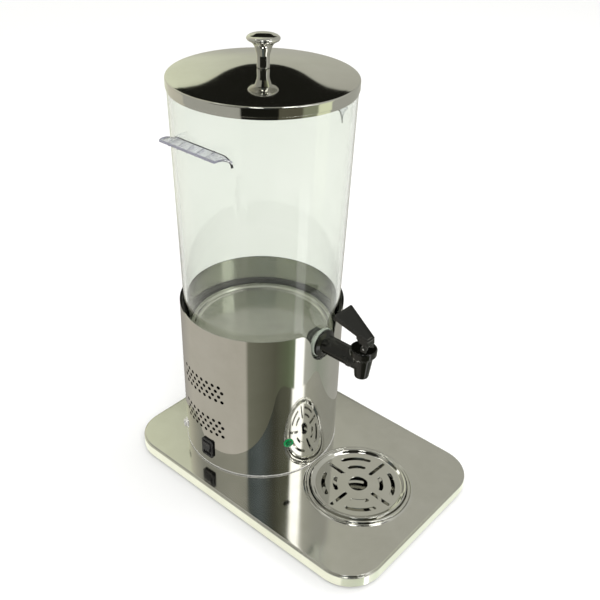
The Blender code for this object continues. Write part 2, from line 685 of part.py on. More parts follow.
def tap_lever():
    """Paddle that leans back over the tap, on two cheeks that turn on the pin."""
    paddle = [(-5.6, -6.0), (5.6, -6.0), (16.0, 41.6), (-16.0, 41.6)]
    lean = 25.0
    lever = prism("tap_lever", paddle, -5.4, 0, BLACK_TAP, LEVER_AXIS, (0, 0, 14.5), (lean, 0, 0))
    dish = [(-3.4, -2.0), (3.4, -2.0), (13.4, 39.0), (-13.4, 39.0)]
    cut(lever, prism("lever_dish", dish, -1.8, 3, None, LEVER_AXIS, (0, 0, 14.5), (lean, 0, 0)))
    cheek = [*arc(3.2, 180, 360, 6), (4.4, 4.5), (12.0, 10.0), (12.0, 16.0), (-4.6, 9.6)]
    for side, low, high in ((-1, -5.6, -3.2), (1, 3.2, 5.6)):
        piece = prism(f"lever_cheek_{side}", cheek, low, high, None, LEVER_AXIS, turn=FACING_SIDE)
        join(lever, piece)
    cut(lever, rod("lever_bore", 1.5, -9, 9, None, LEVER_AXIS, turn=FACING_SIDE, sides=12))


def tap_valve():
    """Stem with its rubber seat cup, and the spring that holds it shut."""
    stem = [(0, 235.4), (2.2, 235.4), (2.4, 234.6), (2.4, 205.9), (0, 205.9)]
    turned("tap_stem", stem, WHITE_PLASTIC, TAP, steps=12)
    seat = [(0, 205.6), (5.4, 205.6), (8.6, 203.4), (8.6, 200.4), (0, 200.4)]
    turned("tap_seat_cup", seat, SILICONE, TAP, steps=20)
    low = 206.8
    high = 221.6
    turns = 4
    per_turn = 9
    curve = bpy.data.curves.new("tap_spring", "CURVE")
    curve.dimensions = "3D"
    curve.bevel_depth = 0.5 * MM
    curve.bevel_resolution = 1
    curve.use_fill_caps = True
    spline = curve.splines.new("POLY")
    count = turns * per_turn + 1
    spline.points.add(count - 1)
    for i, point in enumerate(spline.points):
        a = 2 * pi * i / per_turn
        z = low + (high - low) * i / (count - 1)
        point.co = (4.4 * cos(a) * MM, 4.4 * sin(a) * MM, z * MM, 1)
    smooth(add("tap_spring", curve_mesh(curve), SPRING_STEEL, TAP))


# ---------------------------------------------------------------- lid

def lid():
    """Spun steel lid: shallow dome with a straight skirt."""
    sheet = 0.8
    r = LID_RADIUS
    dome = [(0, LID_PEAK), (45, LID_PEAK - 1.6), (80, LID_PEAK - 4.9), (r - 1.2, LID_EDGE),
            (r, LID_EDGE - 1.6), (r, LID_LOW)]
    under = [(radius, height - sheet) for radius, height in reversed(dome[:3])]
    inner = [(r - sheet, LID_LOW), (r - sheet, LID_EDGE - 1.8), *under]
    cover = turned("lid_cover", dome + inner, STEEL, TOWER, steps=48)
    cut(cover, rod("knob_screw_hole", 2.6, 490, 520, None, TOWER, sides=12))
    foot = LID_PEAK + GAP
    knob = [(0, KNOB_TOP), (9, KNOB_TOP - 1.2), (16.0, KNOB_TOP - 5.0), (17.7, KNOB_TOP - 7.6),
            (12.4, KNOB_TOP - 11.4), (9.0, KNOB_TOP - 15.4), (7.1, KNOB_TOP - 21), (7.2, foot),
            (2.3, foot), (2.3, foot + 12), (0, foot + 12)]
    turned("lid_knob", knob, STEEL, TOWER, steps=24)
    screw = [(0, foot + 9), (1.9, foot + 9), (1.9, LID_PEAK - sheet - 0.4), (4.4, LID_PEAK - sheet - 0.4),
             (4.0, LID_PEAK - sheet - 2.6), (0, LID_PEAK - sheet - 3.0)]
    turned("knob_screw", screw, ZINC, TOWER, steps=16)


clear_scene()
PARTS = collection("drinks_dispenser")
CUTTERS = collection("cutters")

STEEL = material("polished_steel", (0.62, 0.62, 0.58), 0.12, 1.0)
DARK_SHEET = material("galvanised_sheet", (0.42, 0.43, 0.44), 0.45, 1.0)
ALUMINIUM = material("aluminium", (0.75, 0.76, 0.77), 0.35, 1.0)
ZINC = material("zinc_plate", (0.66, 0.67, 0.68), 0.3, 1.0)
NICKEL = material("nickel", (0.78, 0.77, 0.74), 0.18, 1.0)
BRASS = material("brass", (0.72, 0.55, 0.25), 0.3, 1.0)
SPRING_STEEL = material("spring_steel", (0.5, 0.5, 0.52), 0.3, 1.0)
BLACK_TAP = material("tap_plastic", (0.02, 0.02, 0.018), 0.18)
BLACK = material("black_plastic", (0.025, 0.025, 0.025), 0.45)
GLOSS_BLACK = material("rocker_plastic", (0.03, 0.03, 0.03), 0.25)
BLACK_BLADE = material("fan_plastic", (0.04, 0.04, 0.045), 0.4)
RUBBER = material("rubber", (0.03, 0.03, 0.03), 0.8)
SILICONE = material("silicone", (0.8, 0.82, 0.78), 0.5)
WHITE_PLASTIC = material("white_plastic", (0.85, 0.85, 0.82), 0.4)
CLEAR = material("clear_plastic", (0.93, 0.96, 0.94), 0.05, 0.0, 0.25)
GREEN = material("lamp_green", (0.02, 0.4, 0.12), 0.15)
FOAM = material("foam", (0.2, 0.2, 0.2), 0.9)
CERAMIC = material("ceramic", (0.9, 0.9, 0.88), 0.6)
BOARD = material("board_green", (0.02, 0.25, 0.1), 0.5)
BLUE = material("component_blue", (0.05, 0.15, 0.5), 0.4)
RED = material("red_lead", (0.6, 0.03, 0.03), 0.5)
WHITE_LEAD = material("white_lead", (0.8, 0.8, 0.8), 0.5)

TOWER = empty("tower_axis", (0, TOWER_Y, 0))
DRIP = empty("drip_axis", (0, DRIP_Y, 0))
TAP = empty("spout_axis", (0, TOWER_Y + SPOUT_Y, 0))
LEVER_AXIS = empty("lever_axis", (0, TOWER_Y + PIVOT_Y, PIVOT_Z))
ROCKER_AXIS = empty("rocker_axis", (-97.0, TOWER_Y + SWITCH_Y, SWITCH_Z))

base_tray()
base_bottom()
feet()
drip_cup()
drip_grille()
housing_shell()
housing_foot_ring()
housing_screws()
switch()
pilot_lamp()
power_inlet()
deck()
cooling_stack()
fan()
electronics()
wires()
container()
container_pan()
handle("handle_left", -1)
handle("handle_right", 1)
tap_body()
tap_fixing()
tap_bonnet()
tap_lever()
tap_valve()
lid()
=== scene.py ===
import json
from math import atan2, cos, degrees, pi, radians, sin, tan

import bmesh
import bpy
from mathutils import Matrix, Vector
from mathutils.geometry import delaunay_2d_cdt

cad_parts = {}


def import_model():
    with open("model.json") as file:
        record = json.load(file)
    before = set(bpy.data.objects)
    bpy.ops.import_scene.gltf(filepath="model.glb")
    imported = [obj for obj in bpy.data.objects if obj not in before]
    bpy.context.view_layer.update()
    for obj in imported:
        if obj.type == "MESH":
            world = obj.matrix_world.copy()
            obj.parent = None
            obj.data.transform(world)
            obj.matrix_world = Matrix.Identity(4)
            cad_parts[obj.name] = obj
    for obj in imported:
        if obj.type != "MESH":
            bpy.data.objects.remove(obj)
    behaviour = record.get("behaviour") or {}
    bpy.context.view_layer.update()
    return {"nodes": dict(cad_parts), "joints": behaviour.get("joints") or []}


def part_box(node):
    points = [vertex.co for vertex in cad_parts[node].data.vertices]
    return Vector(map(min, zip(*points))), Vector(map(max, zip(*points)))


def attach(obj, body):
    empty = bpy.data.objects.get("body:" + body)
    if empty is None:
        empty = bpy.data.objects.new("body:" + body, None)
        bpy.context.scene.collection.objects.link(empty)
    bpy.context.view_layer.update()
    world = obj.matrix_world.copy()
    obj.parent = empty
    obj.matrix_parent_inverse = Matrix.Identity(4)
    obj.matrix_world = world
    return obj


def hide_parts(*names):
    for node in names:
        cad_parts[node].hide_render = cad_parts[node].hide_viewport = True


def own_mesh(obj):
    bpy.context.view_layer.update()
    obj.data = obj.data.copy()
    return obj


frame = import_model()

# Lengths are in millimetres and angles in degrees until a mesh is made.
MM = 0.001
SHARP_DEG = 27.0
ROUND = 144


# Places read from the frame.

class Span:
    """Where a CAD node lies, in millimetres."""

    def __init__(self, node):
        low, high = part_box(node)
        self.x0, self.y0, self.low = low / MM
        self.x1, self.y1, self.high = high / MM
        self.x = (self.x0 + self.x1) / 2
        self.y = (self.y0 + self.y1) / 2
        self.z = (self.low + self.high) / 2
        self.radius = (self.x1 - self.x0) / 2


def at(x, y, z=0):
    return Matrix.Translation((x, y, z))


def at_joint(name):
    found = next(j for j in frame["joints"] if j["name"] == name)
    return at(*(Vector(found["pos_m"]) / MM))


HOUSING = Span("housing_shell")
TOWER = at(HOUSING.x, HOUSING.y)
TOWER_METRES = at(HOUSING.x * MM, HOUSING.y * MM)
CUP = Span("drip_cup")
DRIP = at(CUP.x, CUP.y)
SPOUT = at(0, Span("tap_stem").y)
LEVER_PIVOT = at_joint("tap_lever_pull")
ROCKER_PIVOT = at_joint("switch_rock")
FACING_FRONT = Matrix.Rotation(radians(90), 4, "X")
FACING_SIDE = Matrix.Rotation(radians(90), 4, "Z") @ FACING_FRONT
HINGE = LEVER_PIVOT @ FACING_SIDE


def outward(node):
    """Frame on the tower's axis at the node's height, with local Z pointing at the node."""
    place = Span(node)
    azimuth = atan2(place.y - HOUSING.y, place.x - HOUSING.x)
    turn = Matrix.Rotation(azimuth, 4, "Z") @ Matrix.Rotation(radians(90), 4, "Y")
    return at(HOUSING.x, HOUSING.y, place.z) @ turn


# Outlines.

def arc(radius, start, end, steps, center=(0, 0)):
    angles = [radians(start + (end - start) * i / steps) for i in range(steps + 1)]
    return [(center[0] + radius * cos(a), center[1] + radius * sin(a)) for a in angles]


def circle(radius, steps, center=(0, 0)):
    return arc(radius, 0, 360, steps, center)[:-1]


def rounded(width, length, corner, steps=16):
    points = []
    for i, (sx, sy) in enumerate(((1, 1), (-1, 1), (-1, -1), (1, -1))):
        middle = (sx * (width / 2 - corner), sy * (length / 2 - corner))
        points += arc(corner, 90 * i, 90 * (i + 1), steps, middle)
    return points


def filleted(points, steps=5):
    """A closed outline in which each point given as (x, y, radius) becomes an arc."""
    result = []
    for i, (x, y, *radius) in enumerate(points):
        corner = Vector((x, y))
        if not radius:
            result.append((x, y))
            continue
        before = Vector(points[i - 1][:2]) - corner
        after = Vector(points[(i + 1) % len(points)][:2]) - corner
        half = before.angle(after) / 2
        reach = min(radius[0] / tan(half), before.length * 0.48, after.length * 0.48)
        size = reach * tan(half)
        middle = corner + (before.normalized() + after.normalized()).normalized() * (size / sin(half))
        first = corner + before.normalized() * reach - middle
        last = corner + after.normalized() * reach - middle
        sweep = first.angle(last)
        for k in range(steps + 1):
            t = k / steps
            spoke = (first * sin((1 - t) * sweep) + last * sin(t * sweep)) / sin(sweep)
            result.append(tuple(middle + spoke))
    return result


def spline(points, per_span=8):
    """Catmull-Rom points through a list of 2D points."""
    pts = [Vector(p) for p in points]
    pts = [2 * pts[0] - pts[1], *pts, 2 * pts[-1] - pts[-2]]
    route = []
    for a, b, c, d in zip(pts, pts[1:], pts[2:], pts[3:]):
        for step in range(per_span):
            t = step / per_span
            route.append(tuple(0.5 * (2 * b + (c - a) * t + (2 * a - 5 * b + 4 * c - d) * t ** 2
                                      + (3 * b - a - 3 * c + d) * t ** 3)))
    return [*route, tuple(pts[-2])]


def turned_points(points, angle):
    c, s = cos(radians(angle)), sin(radians(angle))
    return [(x * c - y * s, x * s + y * c) for x, y in points]


# Meshes.

def fill(loops):
    """Triangles, as indices into the loops' points, between an outer loop and its anticlockwise holes."""
    points, edges, owner = [], [], []
    for number, loop in enumerate(loops):
        start = len(points)
        points += [Vector(point[:2]) for point in loop]
        edges += [(start + i, start + (i + 1) % len(loop)) for i in range(len(loop))]
        owner += [number] * len(loop)
    _, _, faces, sources, _, _ = delaunay_2d_cdt(points, edges, [], 1, 1e-6)
    kept = []
    for face in faces:
        corners = [sources[corner][0] for corner in face]
        lowest = corners.index(min(corners))
        ordered = corners[lowest:] + corners[:lowest]
        hole = owner[corners[0]]
        in_hole = hole and all(owner[k] == hole for k in corners) and ordered[1] < ordered[2]
        if not in_hole:
            kept.append(corners)
    return kept


def cleaned(data, weld, outward=False):
    """Weld a mesh's points, then turn its faces outward or drop its slivers."""
    bm = bmesh.new()
    bm.from_mesh(data)
    bmesh.ops.remove_doubles(bm, verts=bm.verts, dist=weld)
    if outward:
        bmesh.ops.recalc_face_normals(bm, faces=bm.faces)
    else:
        bmesh.ops.dissolve_degenerate(bm, edges=bm.edges, dist=weld)
    bm.to_mesh(data)
    bm.free()
    return data


class Skin:
    """Vertices and faces gathered in millimetres, and welded when the mesh is made."""

    def __init__(self):
        self.verts = []
        self.faces = []

    def loop(self, points, z=None):
        start = len(self.verts)
        self.verts += [Vector(p) if z is None else Vector((*p, z)) for p in points]
        return list(range(start, len(self.verts)))

    def bridge(self, a, b):
        """Quads between two closed loops of the same length; b lies below a, seen from outside."""
        for i in range(len(a)):
            j = (i + 1) % len(a)
            corners = dict.fromkeys((a[i], b[i], b[j], a[j]))
            if len(corners) > 2:
                self.faces.append(tuple(corners))

    def stack(self, rings):
        """Join closed loops of the same length one after another, the first on top."""
        for a, b in zip(rings, rings[1:]):
            self.bridge(a, b)

    def cap(self, loops, facing_up=True):
        """Fill the flat region between an outer loop and its holes."""
        index = [i for loop in loops for i in loop]
        for face in fill([[self.verts[i] for i in loop] for loop in loops]):
            corners = [index[k] for k in face]
            self.faces.append(corners if facing_up else corners[::-1])

    def mesh(self, name, place=Matrix.Identity(4)):
        data = bpy.data.meshes.new(name)
        data.from_pydata([place @ v * MM for v in self.verts], [], self.faces)
        return cleaned(data, 1e-7)


def add_object(name, data):
    obj = bpy.data.objects.new(name, data)
    bpy.context.scene.collection.objects.link(obj)
    return obj


# Prefixes of the pieces that mirror metal doesn't show.
UNMIRRORED = ("tap_", "lever_", "valve_", "lamp_", "inlet_")


def piece(name, data, mat, body, replaces=(), even=True):
    """Put a mesh in the scene as a piece of the object that rides on a body."""
    obj = add_object(name, data)
    data.materials.clear()
    data.materials.append(mat)
    if even:
        data.shade_smooth()
        data.set_sharp_from_angle(angle=radians(SHARP_DEG))
        weigh = obj.modifiers.new("Even normals", "WEIGHTED_NORMAL")
        weigh.keep_sharp = True
    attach(obj, body)
    if replaces:
        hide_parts(*replaces)
    obj.visible_glossy = not name.startswith(UNMIRRORED)
    return obj


def lathe(profile, place, steps=ROUND):
    """Spin a loop of (radius, height) about local Z: down its outer side, up its inner."""
    skin = Skin()
    rings = []
    for r, z in profile:
        if r < 1e-6:
            rings.append(skin.loop([(0, 0)], z) * steps)
        else:
            rings.append(skin.loop(circle(r, steps), z))
    for a, b, (ra, _), (rb, _) in zip(rings, rings[1:] + rings[:1], profile, profile[1:] + profile[:1]):
        if ra > 1e-6 or rb > 1e-6:
            skin.bridge(a, b)
    return skin.mesh("turned", place)


def plug(radius, low, high, place, steps=64):
    """A plain cylinder along local Z, for cutting a hole."""
    return lathe([(0, high), (radius, high), (radius, low), (0, low)], place, steps)


def slab(outline, low, high, place, edge=0.0, holes=(), edge_steps=3):
    """Extrude a flat outline with holes from low to high along local Z, with round edges."""
    curve = bpy.data.curves.new("outline", "CURVE")
    curve.dimensions = "2D"
    curve.fill_mode = "BOTH"
    curve.extrude = (high - low) / 2 - edge
    curve.bevel_depth = edge
    curve.bevel_resolution = edge_steps
    curve.offset = -edge
    for loop in (outline, *holes):
        part = curve.splines.new("POLY")
        part.points.add(len(loop) - 1)
        for point, (x, y) in zip(part.points, loop):
            point.co = (x, y, 0, 1)
        part.use_cyclic_u = True
    return curve_mesh(curve, place @ at(0, 0, (low + high) / 2))


def curve_mesh(curve, place):
    source = add_object("outline", curve)
    graph = bpy.context.evaluated_depsgraph_get()
    data = bpy.data.meshes.new_from_object(source.evaluated_get(graph))
    bpy.data.objects.remove(source)
    data.transform(Matrix.Scale(MM, 4) @ place)
    return cleaned(data, 1e-6, outward=True)


def loft(loops, place):
    """A solid through stacked loops of 3D points, capped at both ends; the first is on top."""
    skin = Skin()
    rings = [skin.loop(points) for points in loops]
    skin.stack(rings)
    skin.cap([rings[0]], True)
    skin.cap([rings[-1]], False)
    return skin.mesh("loft", place)


def swept(sections, place=Matrix.Identity(4)):
    """A solid through closed 3D sections along a path."""
    skin = Skin()
    rings = [skin.loop(points) for points in sections]
    skin.stack(rings)
    skin.faces += [tuple(rings[0]), tuple(rings[-1])]
    return cleaned(skin.mesh("swept", place), 1e-7, outward=True)


def combined(base, unions=(), cuts=()):
    """Boolean sum of meshes, less others, as one new mesh."""
    target = add_object("combined", base)
    tools = []
    for data, operation in [*((m, "UNION") for m in unions), *((m, "DIFFERENCE") for m in cuts)]:
        tool = add_object("tool", data)
        tools.append(tool)
        step = target.modifiers.new(operation, "BOOLEAN")
        step.operation = operation
        step.solver = "EXACT"
        step.object = tool
    graph = bpy.context.evaluated_depsgraph_get()
    result = bpy.data.meshes.new_from_object(target.evaluated_get(graph))
    for obj in (target, *tools):
        bpy.data.objects.remove(obj)
    return result


def rolled_sheet(outline, holes, radius_at, thickness, seam_deg, step_deg=2.5):
    """Roll a flat sheet, given by arc length from the seam and height, round local Z.

    radius_at gives the outer radius at a height, and the sheet's width is one full turn at
    its reference radius. Its points lie exactly on the round, so that exact normals can be set on it
    afterwards and mirror metal shows no facets.
    """
    width = max(x for x, _ in outline)
    bm = bmesh.new()
    verts = [bm.verts.new((x, y, 0)) for loop in (outline, *holes) for x, y in loop]
    for face in fill([outline, *holes]):
        bm.faces.new([verts[k] for k in face])
    turns = round(360 / step_deg)
    for i in range(1, turns):
        geometry = bm.verts[:] + bm.edges[:] + bm.faces[:]
        bmesh.ops.bisect_plane(bm, geom=geometry, dist=1e-5, plane_co=(width * i / turns, 0, 0),
                               plane_no=(1, 0, 0))
    bm.verts.index_update()
    count = len(bm.verts)
    skin = Skin()
    for depth in (0, thickness):
        for vert in bm.verts:
            azimuth = radians(seam_deg + 360 * vert.co.x / width)
            r = radius_at(vert.co.y) - depth
            skin.verts.append(Vector((r * cos(azimuth), r * sin(azimuth), vert.co.y)))
    for face in bm.faces:
        index = [v.index for v in face.verts]
        skin.faces.append(index)
        skin.faces.append([i + count for i in reversed(index)])
    for edge in bm.edges:
        ends = [v.co.x for v in edge.verts]
        on_seam = max(ends) < 1e-4 or min(ends) > width - 1e-4
        if len(edge.link_faces) == 1 and not on_seam:
            loop = edge.link_loops[0]
            a, b = loop.vert.index, loop.link_loop_next.vert.index
            skin.faces.append((b, a, a + count, b + count))
    bm.free()
    return skin


def true_round(data, axis_x, axis_y, slope=0.0):
    """Exact normals for a rolled sheet whose axis is at (axis_x, axis_y) mm."""
    data.shade_smooth()
    normals = []
    for polygon in data.polygons:
        for index in polygon.vertices:
            co = data.vertices[index].co
            radial = Vector((co.x - axis_x * MM, co.y - axis_y * MM, 0)).normalized()
            radial.z = -slope
            facing = polygon.normal.dot(radial)
            exact = radial.normalized() * (1 if facing > 0 else -1)
            normals.append(exact if abs(facing) > 0.8 else polygon.normal.copy())
    data.normals_split_custom_set(normals)


# Materials.

def grey(tone):
    return (tone, tone, tone)


# Noise values between which a pattern runs from its first to its second tone.
PATTERN_RANGE = (0.3, 0.7)
STEEL_COLOR = (0.66, 0.655, 0.62)


class Finish:
    """A procedural material: a Principled shader with pattern nodes in the object's frame."""

    def __init__(self, slot, color, roughness, metallic=0.0, name=None, **sockets):
        self.mat = bpy.data.materials.new(name or slot)
        self.mat.use_nodes = True
        self.mat["slot"] = slot
        self.tree = self.mat.node_tree
        self.shader = self.tree.nodes["Principled BSDF"]
        self.surface = self.tree.nodes["Material Output"].inputs["Surface"]
        self.shader.inputs["Base Color"].default_value = (*color, 1)
        self.shader.inputs["Roughness"].default_value = roughness
        self.shader.inputs["Metallic"].default_value = metallic
        for socket, value in sockets.items():
            self.shader.inputs[socket.replace("_", " ")].default_value = value
        self.place = self.tree.nodes.new("ShaderNodeTexCoord").outputs["Object"]

    def node(self, kind, **values):
        made = self.tree.nodes.new("ShaderNode" + kind)
        for key, value in values.items():
            setattr(made, key, value)
        return made

    def join(self, out, into):
        self.tree.links.new(out, into)

    def noise(self, scale, detail=4.0, rough=0.55, stretch=None):
        made = self.node("TexNoise")
        for socket, value in (("Scale", scale), ("Detail", detail), ("Roughness", rough)):
            made.inputs[socket].default_value = value
        source = self.place
        if stretch:
            mapping = self.node("Mapping")
            mapping.inputs["Scale"].default_value = stretch
            self.join(self.place, mapping.inputs["Vector"])
            source = mapping.outputs["Vector"]
        self.join(source, made.inputs["Vector"])
        return made.outputs["Fac"]

    def tones(self, value, dark, light):
        ramp = self.node("ValToRGB")
        for stop, position, color in zip(ramp.color_ramp.elements, PATTERN_RANGE, (dark, light)):
            stop.position = position
            stop.color = (*color, 1)
        self.join(value, ramp.inputs["Fac"])
        self.join(ramp.outputs["Color"], self.shader.inputs["Base Color"])

    def roughness(self, value, low, high):
        made = self.node("MapRange")
        for socket, limit in zip(("From Min", "From Max", "To Min", "To Max"), (*PATTERN_RANGE, low, high)):
            made.inputs[socket].default_value = limit
        self.join(value, made.inputs["Value"])
        self.join(made.outputs["Result"], self.shader.inputs["Roughness"])

    def relief(self, value, depth):
        """Bump of a depth in millimetres, over any bump made before."""
        bump = self.node("Bump")
        bump.inputs["Strength"].default_value = 1.0
        bump.inputs["Distance"].default_value = depth * MM
        self.join(value, bump.inputs["Height"])
        normal = self.shader.inputs["Normal"]
        if normal.is_linked:
            self.join(normal.links[0].from_socket, bump.inputs["Normal"])
        self.join(bump.outputs["Normal"], normal)

    def rings(self, axis, per_metre):
        """Noise that runs in circles round a vertical axis through a point in millimetres."""
        shift = self.node("VectorMath", operation="SUBTRACT")
        shift.inputs[1].default_value = (axis[0] * MM, axis[1] * MM, 0)
        self.join(self.place, shift.inputs[0])
        flat = self.node("VectorMath", operation="MULTIPLY")
        flat.inputs[1].default_value = (1, 1, 0)
        self.join(shift.outputs[0], flat.inputs[0])
        length = self.node("VectorMath", operation="LENGTH")
        self.join(flat.outputs[0], length.inputs[0])
        made = self.node("TexNoise", noise_dimensions="1D")
        made.inputs["Scale"].default_value = per_metre
        made.inputs["Detail"].default_value = 3.0
        self.join(length.outputs["Value"], made.inputs["W"])
        return made.outputs["Fac"]


def mirror_steel(name, rough):
    """Polished stainless steel: faint smears, hairlines and a slight wave of the sheet."""
    made = Finish("polished_steel", STEEL_COLOR, 0.05, 1.0, name)
    made.tones(made.noise(22, 5, 0.6), (0.63, 0.625, 0.585), (0.69, 0.685, 0.655))
    made.roughness(made.noise(9, 6, 0.7), *rough)
    made.relief(made.noise(1.0, 2, 0.5, (60, 60, 900)), 0.0008)
    made.relief(made.noise(5.5, 1, 0.4), 0.032)
    return made


def moulded(slot, dark, light, rough=(0.25, 0.4), scale=60, relief=0.01, grain=900, **sockets):
    """Moulded plastic, rubber or ceramic with a fine skin and slight tone changes."""
    made = Finish(slot, light, rough[0], 0.0, **sockets)
    made.tones(made.noise(scale, 4), dark, light)
    made.roughness(made.noise(scale * 2.3, 5), *rough)
    made.relief(made.noise(grain, 3), relief)
    return made.mat


def plated(slot, dark, light, rough=(0.22, 0.4), scale=90, relief=0.004, metallic=1.0):
    """Plated or bare metal with a fine mottle."""
    made = Finish(slot, light, rough[0], metallic)
    made.tones(made.noise(scale, 5, 0.6), dark, light)
    made.roughness(made.noise(scale * 1.7, 4), *rough)
    made.relief(made.noise(scale * 9, 3, 0.5), relief)
    return made.mat


def clear_acrylic():
    """Clear moulded acrylic with a faint green tint, which lets lamps through."""
    made = Finish("clear_plastic", (0.85, 0.88, 0.835), 0.0, 0.0, Transmission_Weight=1.0, IOR=1.49)
    made.tones(made.noise(14, 3), (0.845, 0.870, 0.828), (0.87, 0.890, 0.852))
    made.roughness(made.noise(30, 5, 0.7), 0.0, 0.03)
    made.relief(made.noise(6, 1), 0.03)
    through = made.node("BsdfTransparent")
    through.inputs["Color"].default_value = (0.93, 0.96, 0.92, 1)
    mix = made.node("MixShader")
    made.join(made.node("LightPath").outputs["Is Shadow Ray"], mix.inputs["Fac"])
    made.join(made.shader.outputs["BSDF"], mix.inputs[1])
    made.join(through.outputs["BSDF"], mix.inputs[2])
    made.join(mix.outputs["Shader"], made.surface)
    return made.mat


def pan_steel():
    """Stainless floor pan with fine circular brushing."""
    made = Finish("polished_steel", STEEL_COLOR, 0.18, 1.0, "pan_steel")
    made.tones(made.noise(16, 5, 0.6), (0.60, 0.60, 0.56), (0.70, 0.69, 0.65))
    made.roughness(made.noise(11, 5, 0.7), 0.12, 0.24)
    made.relief(made.rings((HOUSING.x, HOUSING.y), 1600), 0.006)
    made.relief(made.noise(9, 2), 0.10)
    return made.mat


def machined_aluminium():
    made = Finish("aluminium", (0.77, 0.78, 0.79), 0.3, 1.0, "machined_aluminium")
    made.tones(made.noise(30, 4), (0.70, 0.71, 0.72), (0.80, 0.81, 0.82))
    made.roughness(made.noise(40, 4), 0.24, 0.36)
    made.relief(made.rings((HOUSING.x, HOUSING.y), 900), 0.012)
    return made.mat


def plate_steel():
    """Mirror steel of the base: pressed a little out of flat round the cup, with long smears."""
    made = mirror_steel("plate_steel", (0.08, 0.13))
    made.relief(made.noise(7.0, 0, 0.4), 0.35)
    return made.mat


STEEL = mirror_steel("mirror_steel", (0.035, 0.075)).mat
PLATE_STEEL = plate_steel()
PAN_STEEL = pan_steel()
CLEAR = clear_acrylic()
HOOD = moulded("clear_plastic", (0.86, 0.87, 0.93), (0.93, 0.94, 0.98), (0.2, 0.3), 40, 0.01, 300,
               Transmission_Weight=0.8, IOR=1.45)
LIP = moulded("clear_plastic", (0.42, 0.42, 0.50), (0.55, 0.55, 0.63), (0.12, 0.2), 60, 0.01, 300,
              Transmission_Weight=0.55, IOR=1.45)
SHEET = plated("galvanised_sheet", (0.36, 0.37, 0.38), (0.47, 0.48, 0.49), (0.35, 0.55), 70)
ALUMINIUM = plated("aluminium", (0.68, 0.69, 0.70), (0.80, 0.81, 0.82), (0.28, 0.42), 80)
COLD = machined_aluminium()
ZINC = plated("zinc_plate", (0.56, 0.57, 0.58), (0.72, 0.73, 0.74), (0.2, 0.35), 160)
NICKEL = plated("nickel", (0.78, 0.77, 0.74), (0.88, 0.87, 0.84), (0.2, 0.3), 120, metallic=0.45)
BRASS = plated("brass", (0.62, 0.46, 0.20), (0.78, 0.60, 0.30), (0.2, 0.35), 140)
SPRING = plated("spring_steel", (0.44, 0.44, 0.46), (0.58, 0.58, 0.60), (0.2, 0.35), 200)
TAP_BLACK = moulded("tap_plastic", (0.0020, 0.0020, 0.0015), (0.004, 0.004, 0.0031), (0.04, 0.09), 45,
                    0.003, 400, Specular_IOR_Level=0.5)
BLACK = moulded("black_plastic", grey(0.016), grey(0.030), (0.35, 0.5), 60, 0.012)
ROCKER = moulded("rocker_plastic", grey(0.016), grey(0.034), (0.18, 0.3), 60, 0.006)
BLADE = moulded("fan_plastic", (0.026, 0.026, 0.030), (0.044, 0.044, 0.05), (0.3, 0.45), 60, 0.01)
SEAT_RUBBER = moulded("rubber", (0.34, 0.34, 0.32), (0.44, 0.44, 0.41), (0.6, 0.8), 90, 0.02, 1400)
RUBBER = moulded("rubber", grey(0.018), grey(0.036), (0.65, 0.85), 90, 0.02, 1400)
SILICONE = moulded("silicone", (0.42, 0.47, 0.40), (0.55, 0.60, 0.52), (0.25, 0.4), 70, 0.008,
                   Transmission_Weight=0.35)
WHITE = moulded("white_plastic", (0.80, 0.80, 0.77), (0.88, 0.88, 0.85), (0.3, 0.42), 70, 0.006)
LAMP = moulded("lamp_green", (0.003, 0.24, 0.06), (0.008, 0.36, 0.10), (0.06, 0.12), 160, 0.006,
               Transmission_Weight=0.2)
LENS = moulded("lamp_green", (0.003, 0.15, 0.045), (0.006, 0.22, 0.07), (0.04, 0.10), 160, 0.006,
               Transmission_Weight=0.3)
FOAM = moulded("foam", grey(0.12), grey(0.24), (0.85, 0.95), 700, 0.25, 1100)
CERAMIC = moulded("ceramic", (0.84, 0.84, 0.82), (0.93, 0.93, 0.91), (0.5, 0.65), 300, 0.01)
BOARD = moulded("board_green", (0.010, 0.16, 0.06), (0.02, 0.27, 0.11), (0.35, 0.5), 350, 0.03, 420)
BLUE = moulded("component_blue", (0.03, 0.10, 0.40), (0.06, 0.17, 0.55), (0.3, 0.4), 120, 0.01)
RED = moulded("red_lead", (0.50, 0.02, 0.02), (0.68, 0.04, 0.04), (0.4, 0.5), 200, 0.01)
LEAD = moulded("white_lead", grey(0.72), grey(0.84), (0.4, 0.5), 200, 0.01)


# Base.

BASE = Span("base_tray")
BASE_CORNER = 45.3
TOP_INSET = 1.8
SHOULDER = 2.0
SHEET_STEEL = 1.0
# Inset at which the top's flat sheet begins.
FLAT_INSET = 6.0
HOLE_RADIUS = 61.6
CUP_SWAGE = [*spline([(69.0, 0.0), (68.6, 0.12), (67.6, 0.7), (66.9, 0.98), (66.3, 0.95), (65.9, 0.7)], 4),
             (65.8, 0.0), (HOLE_RADIUS, 0.0)]


def base_outline(inset):
    return rounded(BASE.x1 - BASE.x0 - 2 * inset, BASE.y1 - BASE.y0 - 2 * inset, BASE_CORNER - inset)


